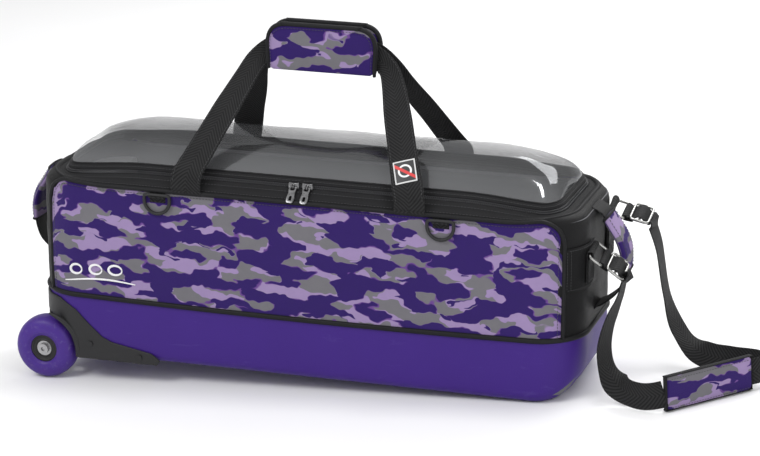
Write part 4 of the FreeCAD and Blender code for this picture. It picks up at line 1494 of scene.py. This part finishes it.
def padded_sleeve(name, side):
    """Padded sleeve round the upper stretch of an end handle."""
    pts = sampled([Vector((side * x, 0, z)) for x, z in END_LINE[2:6]], 3.0)
    tan = tangents(pts)
    rows = []
    n = len(pts)
    around = 28
    for i, p in enumerate(pts):
        share = i / (n - 1)
        swell = arch_share(share) ** 0.35 if 0 < share < 1 else 0.0
        half_w = 25.0 + 1.8 * swell
        half_t = 2.9 + 3.2 * swell
        out = tan[i].cross(Y_AXIS).normalized()
        row = []
        for k in range(around):
            a = 2 * math.pi * k / around
            c, s = math.cos(a), math.sin(a)
            w = math.copysign(abs(c) ** 0.55, c) * half_w
            t = math.copysign(abs(s) ** 0.8, s) * half_t * (1 - 0.25 * (abs(c) > 0.96))
            q = p + Y_AXIS * w + out * t
            q += out * (0.45 * ripple(q, 15.0, 2.0 + side) * abs(s))
            row.append(q)
        rows.append(row)
    verts = [q for row in rows for q in row]
    uvs = []
    for row, run in zip(rows, lengths(pts)):
        uvs += [(q.y * MM + 0.63 + (0.2 if math.sin(2 * math.pi * k / around) < 0 else 0.0), run * MM)
                for k, q in enumerate(row)]
    mesh = mesh_of(verts, rod_faces(n, around), uvs)
    piece = add_object("end_sleeve_pad_" + name, mesh, "bag", CAMO_B, ("end_sleeve_" + name,))
    smooth(piece)
    for k, i in (("a", 1), ("b", n - 2)):
        loop = [rows[i][j] + (rows[i][j] - pts[i]).normalized() * 0.5 for j in range(around)]
        mesh = tube(loop, 1.7, closed=True, sides=8)
        add_object("end_sleeve_edge_%s_%s" % (name, k), mesh, "bag", BINDING)
    seams = []
    for edge in (-21.5, 21.5):
        line = []
        normals = []
        for i in range(2, n - 2):
            out = tan[i].cross(Y_AXIS).normalized()
            if out.x * side < 0:
                out = -out
            share = i / (n - 1)
            rise = 2.9 + 2.2 * math.sin(math.pi * share) ** 0.35
            line.append(pts[i] + Vector((0, edge, 0)) + out * rise)
            normals.append(out)
        seams.append(stitch_mesh(line, normals, 3.2, 1.3, 0.4))
    add_object("end_sleeve_stitch_" + name, join_meshes(seams), "bag", THREAD)


for name, side in (("right", 1), ("left", -1)):
    pts = sampled([Vector((side * x, 0, z)) for x, z in END_LINE], 4.0)
    mesh = ribbon(pts, [Y_AXIS] * len(pts), 44.0, 2.4)
    add_object("end_webbing_" + name, mesh, "bag", WEB, ("end_handle_" + name,))
    padded_sleeve(name, side)


# ---------------------------------------------------------------- tow strap: tabs, rings, tri-glides, grip
# the fold of each tab that its ring hangs in, and how far the ring drops, in degrees
FOLDS = {"front": (Vector((406.0, -62.0, 212.0)), 39.0), "back": (Vector((406.0, 58.0, 238.0)), 14.0)}
SWING = (FOLDS["back"][0] - FOLDS["front"][0]).normalized()
SKEW = Matrix.Rotation(math.atan2(SWING.z, SWING.y), 4, "X")
WORLD_LINE = {"front": front_line, "back": back_line}
BACK_TO_LEVEL = STAND.inverted()
PATCH_LOW, PATCH_HIGH = 160.0, 222.0   # heights of the cloth patches behind the tabs


def wire_loop(x0, x1, half, r):
    """Rounded rectangle in the plane of a ring or a tri-glide."""
    out = []
    for cx, cy, a0 in ((x1 - r, -half + r, -90), (x1 - r, half - r, 0),
                       (x0 + r, half - r, 90), (x0 + r, -half + r, 180)):
        for k in range(5):
            a = math.radians(a0 + 90 * k / 4)
            out.append(Vector((cx + r * math.cos(a), cy + r * math.sin(a), 0)))
    dense = []
    for a, b in zip(out, out[1:] + out[:1]):
        count = max(1, int((b - a).length / 5))
        dense += [a.lerp(b, k / count) for k in range(count)]
    return dense


for name, (fold, drop) in FOLDS.items():
    place = Matrix.Translation(fold) @ SKEW @ Matrix.Rotation(math.radians(drop), 4, "Y")
    mesh = tube(wire_loop(0, 20, TOW_W / 2 + 2.5, 4.0), 1.95, closed=True, sides=12)
    mesh.transform(place)
    add_object("tow_loop_" + name, mesh, "tow_strap", NICKEL, ("tow_ring_" + name,))
    frame_loop = tube(wire_loop(25, 51, TOW_W / 2 + 3, 5.0), 1.95, closed=True, sides=12)
    bar = tube([Vector((38, y, 0)) for y in (-22, -8, 8, 22)], 1.8, sides=12)
    mesh = join_meshes([frame_loop, bar])
    mesh.transform(Matrix.Translation((3.0, 0, 3.6)))
    mesh.transform(place)
    add_object("tow_triglide_" + name, mesh, "tow_strap", NICKEL, ("tow_slider_" + name,))
    # webbing through the ring and over the middle bar, then out to the long branch
    own = [(33.0, -2.6), (27.0, -3.4), (21.0, -3.6), (17.6, -2.6), (16.4, 0.0), (17.8, 2.6), (20.6, 3.0),
           (24.0, 1.4), (28.0, 0.4), (33.0, 2.6), (37.5, 6.4), (41.0, 7.2), (44.5, 6.4), (49.0, 2.6), (54.0, 0.2),
           (59.0, 0.6)]
    pts = [place @ Vector((x, 0.0, z)) for x, z in own]
    long_line = [BACK_TO_LEVEL @ p / MM for p in WORLD_LINE[name][:6]]
    pts.append(long_line[2] + (pts[-1] - long_line[2]) * 0.3)
    line = sampled(pts, 2.0)
    mesh = ribbon(line, [SWING] * len(line), TOW_W - 0.6, 1.8)
    add_object("tow_turn_" + name, mesh, "tow_strap", WEB)
    y = fold.y
    h = fold.z
    own = [(401.9, 168.0), (401.9, 192.0), (402.1, h - 8.0), (401.9, h - 3.0), (402.6, h + 1.6),
           (405.0, h + 3.5), (408.0, h + 2.9), (409.6, h), (408.4, h - 3.2), (405.4, h - 6.5), (404.0, h - 12.0),
           (403.7, h - 22.0), (403.6, 168.0)]
    line = sampled([Vector((x, y, z)) for x, z in own], 2.0)
    turns = []
    for p in line:
        share = min(1.0, max(0.0, (p.z - (h - 26.0)) / 20.0))
        turns.append(Y_AXIS.lerp(SWING, share))
    mesh = ribbon(line, turns, TOW_W - 3.0, 1.7)
    cad = ("tow_tabs",) if name == "front" else ()
    add_object("tow_root_" + name, mesh, "bag", WEB, cad)
    mesh = cross_box(Vector((404.7, y, 180.0)), Y_AXIS, Z_AXIS, 14.0, 9.0)
    add_object("tow_root_stitch_" + name, mesh, "bag", THREAD)
    # reinforcement patch behind the tab, wrapped round the corner
    mid = LAP / 4 + fold.y
    t0, t1 = (mid - 50.0, mid + 24.0) if name == "front" else (mid - 24.0, mid + 50.0)
    ts = span(t0, t1, 5.0)
    mesh = wall_sheet(ts, lambda t: PATCH_LOW, lambda t: PATCH_HIGH, 10, lambda t, v, z: 3.0)
    piece = add_object("tow_patch_" + name, mesh, "bag", NYLON)
    thicken(piece, 1.2)
    seams = []
    near, far, low, high = t0 + 3, t1 - 3, PATCH_LOW + 3, PATCH_HIGH - 3
    for a, b in (((near, low), (far, low)), ((far, low), (far, high)), ((far, high), (near, high)),
                 ((near, high), (near, low)), ((t0 + 9, low), (t0 + 9, high))):
        pairs = [(a[0] + (b[0] - a[0]) * k / 12, a[1] + (b[1] - a[1]) * k / 12) for k in range(13)]
        line = outline_line(pairs, -3.1)
        normals = [outward_at(t) for t, z in pairs]
        seams.append(stitch_mesh(line, normals, 3.0, 1.2, 0.4))
    add_object("tow_patch_stitch_" + name, join_meshes(seams), "bag", THREAD)

GRIP_FROM = Vector((525.0, -121.0, 26.0))
GRIP_TO = Vector((623.0, -15.0, 26.0))


def tow_grip():
    """Folded pad standing on its edge on the floor, with bound edges."""
    along = (GRIP_TO - GRIP_FROM)
    length = along.length
    along.normalize()
    place = Matrix.Translation(GRIP_FROM) @ Matrix.Rotation(math.atan2(along.y, along.x), 4, "Z")
    corners = [(1.0, -24.4), (length - 1.0, -24.4), (length - 1.0, 24.4), (1.0, 24.4)]
    outline = rounded_profile(corners, 5.0, 4)
    mesh = block_mesh(outline, -4.6, 4.6, 2.4, 2)

    def hold(p):
        edge = min(p.x, length - p.x, 25.5 - abs(p.z))
        return 1.0 if edge < 5.5 else 0.0

    mesh = puffed(mesh, 4.5, 3.4, 5.0, hold)
    for v in mesh.vertices:
        v.co.y += 0.5 * ripple(v.co, 20.0, 5.0) * math.copysign(1.0, v.co.y)
    paint_uvs(mesh, lambda p, n: (p.x * MM + (0.4 if n.y > 0 else 0.0), p.z * MM))
    mesh.transform(place)
    pad = add_object("tow_grip_cover", mesh, "tow_strap", CAMO, ("tow_grip",), FLOOR)
    smooth(pad)
    extras = []
    edges = [("edge_low", [Vector((length * k / 24, 0, -24.0)) for k in range(25)]),
             ("edge_high", [Vector((length * k / 24, 0, 24.0)) for k in range(25)]),
             ("end_near", [Vector((1.2, 0, -23.5 + 47.0 * k / 10)) for k in range(11)]),
             ("end_far", [Vector((length - 1.2, 0, -23.5 + 47.0 * k / 10)) for k in range(11)])]
    for name, line in edges:
        mesh = tube(line, 1.1, sides=8)
        for v in mesh.vertices:
            v.co.y *= 4.4   # flat tape over the edge
        mesh.transform(place)
        extras.append(add_object("tow_grip_" + name, mesh, "tow_strap", BINDING, (), FLOOR))
    seams = []
    for side in (-1, 1):
        for z in (-20.0, 20.0):
            line = [Vector((6 + (length - 12) * k / 20, side * 6.1, z)) for k in range(21)]
            seams.append(stitch_mesh(line, [Vector((0, side, 0))] * 21, 3.2, 1.3, 0.4))
    mesh = join_meshes(seams)
    mesh.transform(place)
    extras.append(add_object("tow_grip_stitch", mesh, "tow_strap", THREAD, (), FLOOR))
    return [pad] + extras


grip_pieces = tow_grip()
for piece, cad in ((strap_front, "tow_strap_front"), (strap_back, "tow_strap_back")):
    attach(piece, "tow_strap")
    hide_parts(cad)
tuple(front_line[0])
[tuple(p) for p in front_line]
tuple(back_line[0])
[tuple(p) for p in back_line]


# ---------------------------------------------------------------- inside: liner, foam, boards
def liner_out(t, v, z):
    p, n = plan_point(t)
    return -8.6 + 0.7 * ripple((p.x, p.y, z), 40.0, 7.7) * math.sin(math.pi * v)


mesh = wall_sheet(span(0.0, LAP, 12.0), lambda t: 96.0, lambda t: 254.0, 12, liner_out)
piece = add_object("liner_cloth", mesh, "bag", LINER, ("lining",))
thicken(piece, 1.0)
for name in ("left", "right"):
    pad = softened("end_foam_" + name, "end_pad_" + name, 5.0, 6, "bag", FOAM)
pad = softened("ball_seats", "ball_cradles", 5.0, 6, "bag", FOAM)
for node, look in (("base_board", BOARD), ("stiffener_front", BOARD), ("stiffener_back", BOARD),
                   ("stiffener_left", BOARD), ("stiffener_right", BOARD), ("board_rivets", BLACK_STEEL),
                   ("housing_screws", PLASTIC), ("wheel_bolts", STEEL), ("wheel_nuts", STEEL),
                   ("wheel_washers", STEEL), ("wheel_spacers", STEEL), ("wheel_bearings_front", STEEL),
                   ("wheel_bearings_back", STEEL)):
    obj = frame["nodes"][node]
    if obj.material_slots:
        for entry in obj.material_slots:
            entry.material = look
    else:
        obj.data.materials.append(look)

# ---------------------------------------------------------------- plain mark on the front panel
def mark():
    """Three rings over a swept line, embroidered low on the panel's left."""
    strokes = []
    line = []
    for k in range(25):
        s = k / 24
        line.append((-352.0 + 108.0 * s, 112.0 + 5.0 * math.sin(math.pi * s) + 3.0 * s))
    strokes.append((line, 1.5))
    for i in range(3):
        cx = -334.0 + 30.0 * i
        ring = [(cx + 8.5 * math.cos(a) * (1 + 0.1 * i), 131.0 + 1.5 * i + 7.0 * math.sin(a))
                for a in (math.radians(20 * k) for k in range(19))]
        strokes.append((ring, 1.9))
    parts = []
    for pairs, r in strokes:
        pts = []
        for x, z in pairs:
            t = t_of_x(x)
            share = (z - BASE_TOP) / (WALL_TOP - BASE_TOP)
            p, n = plan_point(t, -panel_out(t, share, z) - 0.2)
            pts.append(Vector((p.x, p.y, z)))
        parts.append(tube(pts, lambda s, r=r: r * (0.55 + 0.45 * arch_share(s)), sides=8))
    add_object("panel_mark", join_meshes(parts), "bag", PALE_THREAD)


mark()


SOFT_X, SOFT_Z = 230.0, 225.0   # beyond this |x| and above this height the top is soft


def settle(objects):
    """Lets the ends of the bag's soft top lean in and sag, as the cloth does at both ends."""
    to_level = (STAND @ Matrix.Scale(MM, 4)).inverted()
    back = to_level.inverted()
    for obj in objects:
        for v in obj.data.vertices:
            p = to_level @ v.co
            if p.z < SOFT_Z or abs(p.x) < SOFT_X:
                continue
            far = ease((abs(p.x) - 292.0) / 88.0)
            lift = 7.5 * far * ease((p.z - SOFT_Z) / 33.0)
            sag = 9.5 * ease((abs(p.x) - SOFT_X) / 150.0) + 6.0 * far
            p.z += lift - sag * ease((p.z - WALL_TOP) / 16.0)
            p.x -= math.copysign(16.0 * ease((abs(p.x) - 330.0) / 60.0) * ease((p.z - 250.0) / 22.0), p.x)
            v.co = back @ p
        obj.data.update()


settle(soft_top)
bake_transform(hinge_strip)


# ---------------------------------------------------------------- floor, light
floor_look = Look("floor_paint", (0.86, 0.86, 0.87), 0.55)
grain = floor_look.noise(floor_look.place(), 3.0, 4.0, 0.5)
floor_look.put("Base Color", floor_look.mix(grain, (0.86, 0.86, 0.865), (0.90, 0.90, 0.905)))
mesh = bpy.data.meshes.new("floor")
HALF_FLOOR = 14.0
mesh.from_pydata([(sx * HALF_FLOOR, sy * HALF_FLOOR, 0) for sx, sy in CORNERS], [], [(0, 1, 2, 3)])
floor = link("floor", mesh)
floor.location.z = -0.0006   # just under the wheels, so that no face lies in the floor's plane
mesh.materials.append(floor_look.done())
world = bpy.data.worlds.new("studio") if scene.world is None else scene.world
scene.world = world
world.use_nodes = True
background = world.node_tree.nodes.get("Background") or world.node_tree.nodes.new("ShaderNodeBackground")
background.inputs[0].default_value = (1.0, 1.0, 1.0, 1.0)
background.inputs[1].default_value = 0.68


def lamp(name, place, target, size, power):
    data = bpy.data.lights.new(name, "AREA")
    data.shape = "RECTANGLE"
    data.size, data.size_y = size
    data.energy = power
    obj = link(name, data)
    obj.location = place
    obj.rotation_mode = "QUATERNION"
    obj.rotation_quaternion = (Vector(target) - Vector(place)).to_track_quat("-Z", "Y")


lamp("key", (-1.6, -2.2, 2.9), (0, 0, 0.2), (1.8, 1.2), 62)
lamp("fill", (2.4, -2.0, 1.6), (0, 0, 0.2), (1.6, 1.6), 26)
lamp("rear", (0.9, 2.5, 2.3), (0, 0, 0.3), (2.1, 1.5), 58)
lamp("top", (0.7, 0.3, 3.0), (0, 0, 0.2), (0.8, 0.35), 26)
scene.view_settings.view_transform = "Standard"
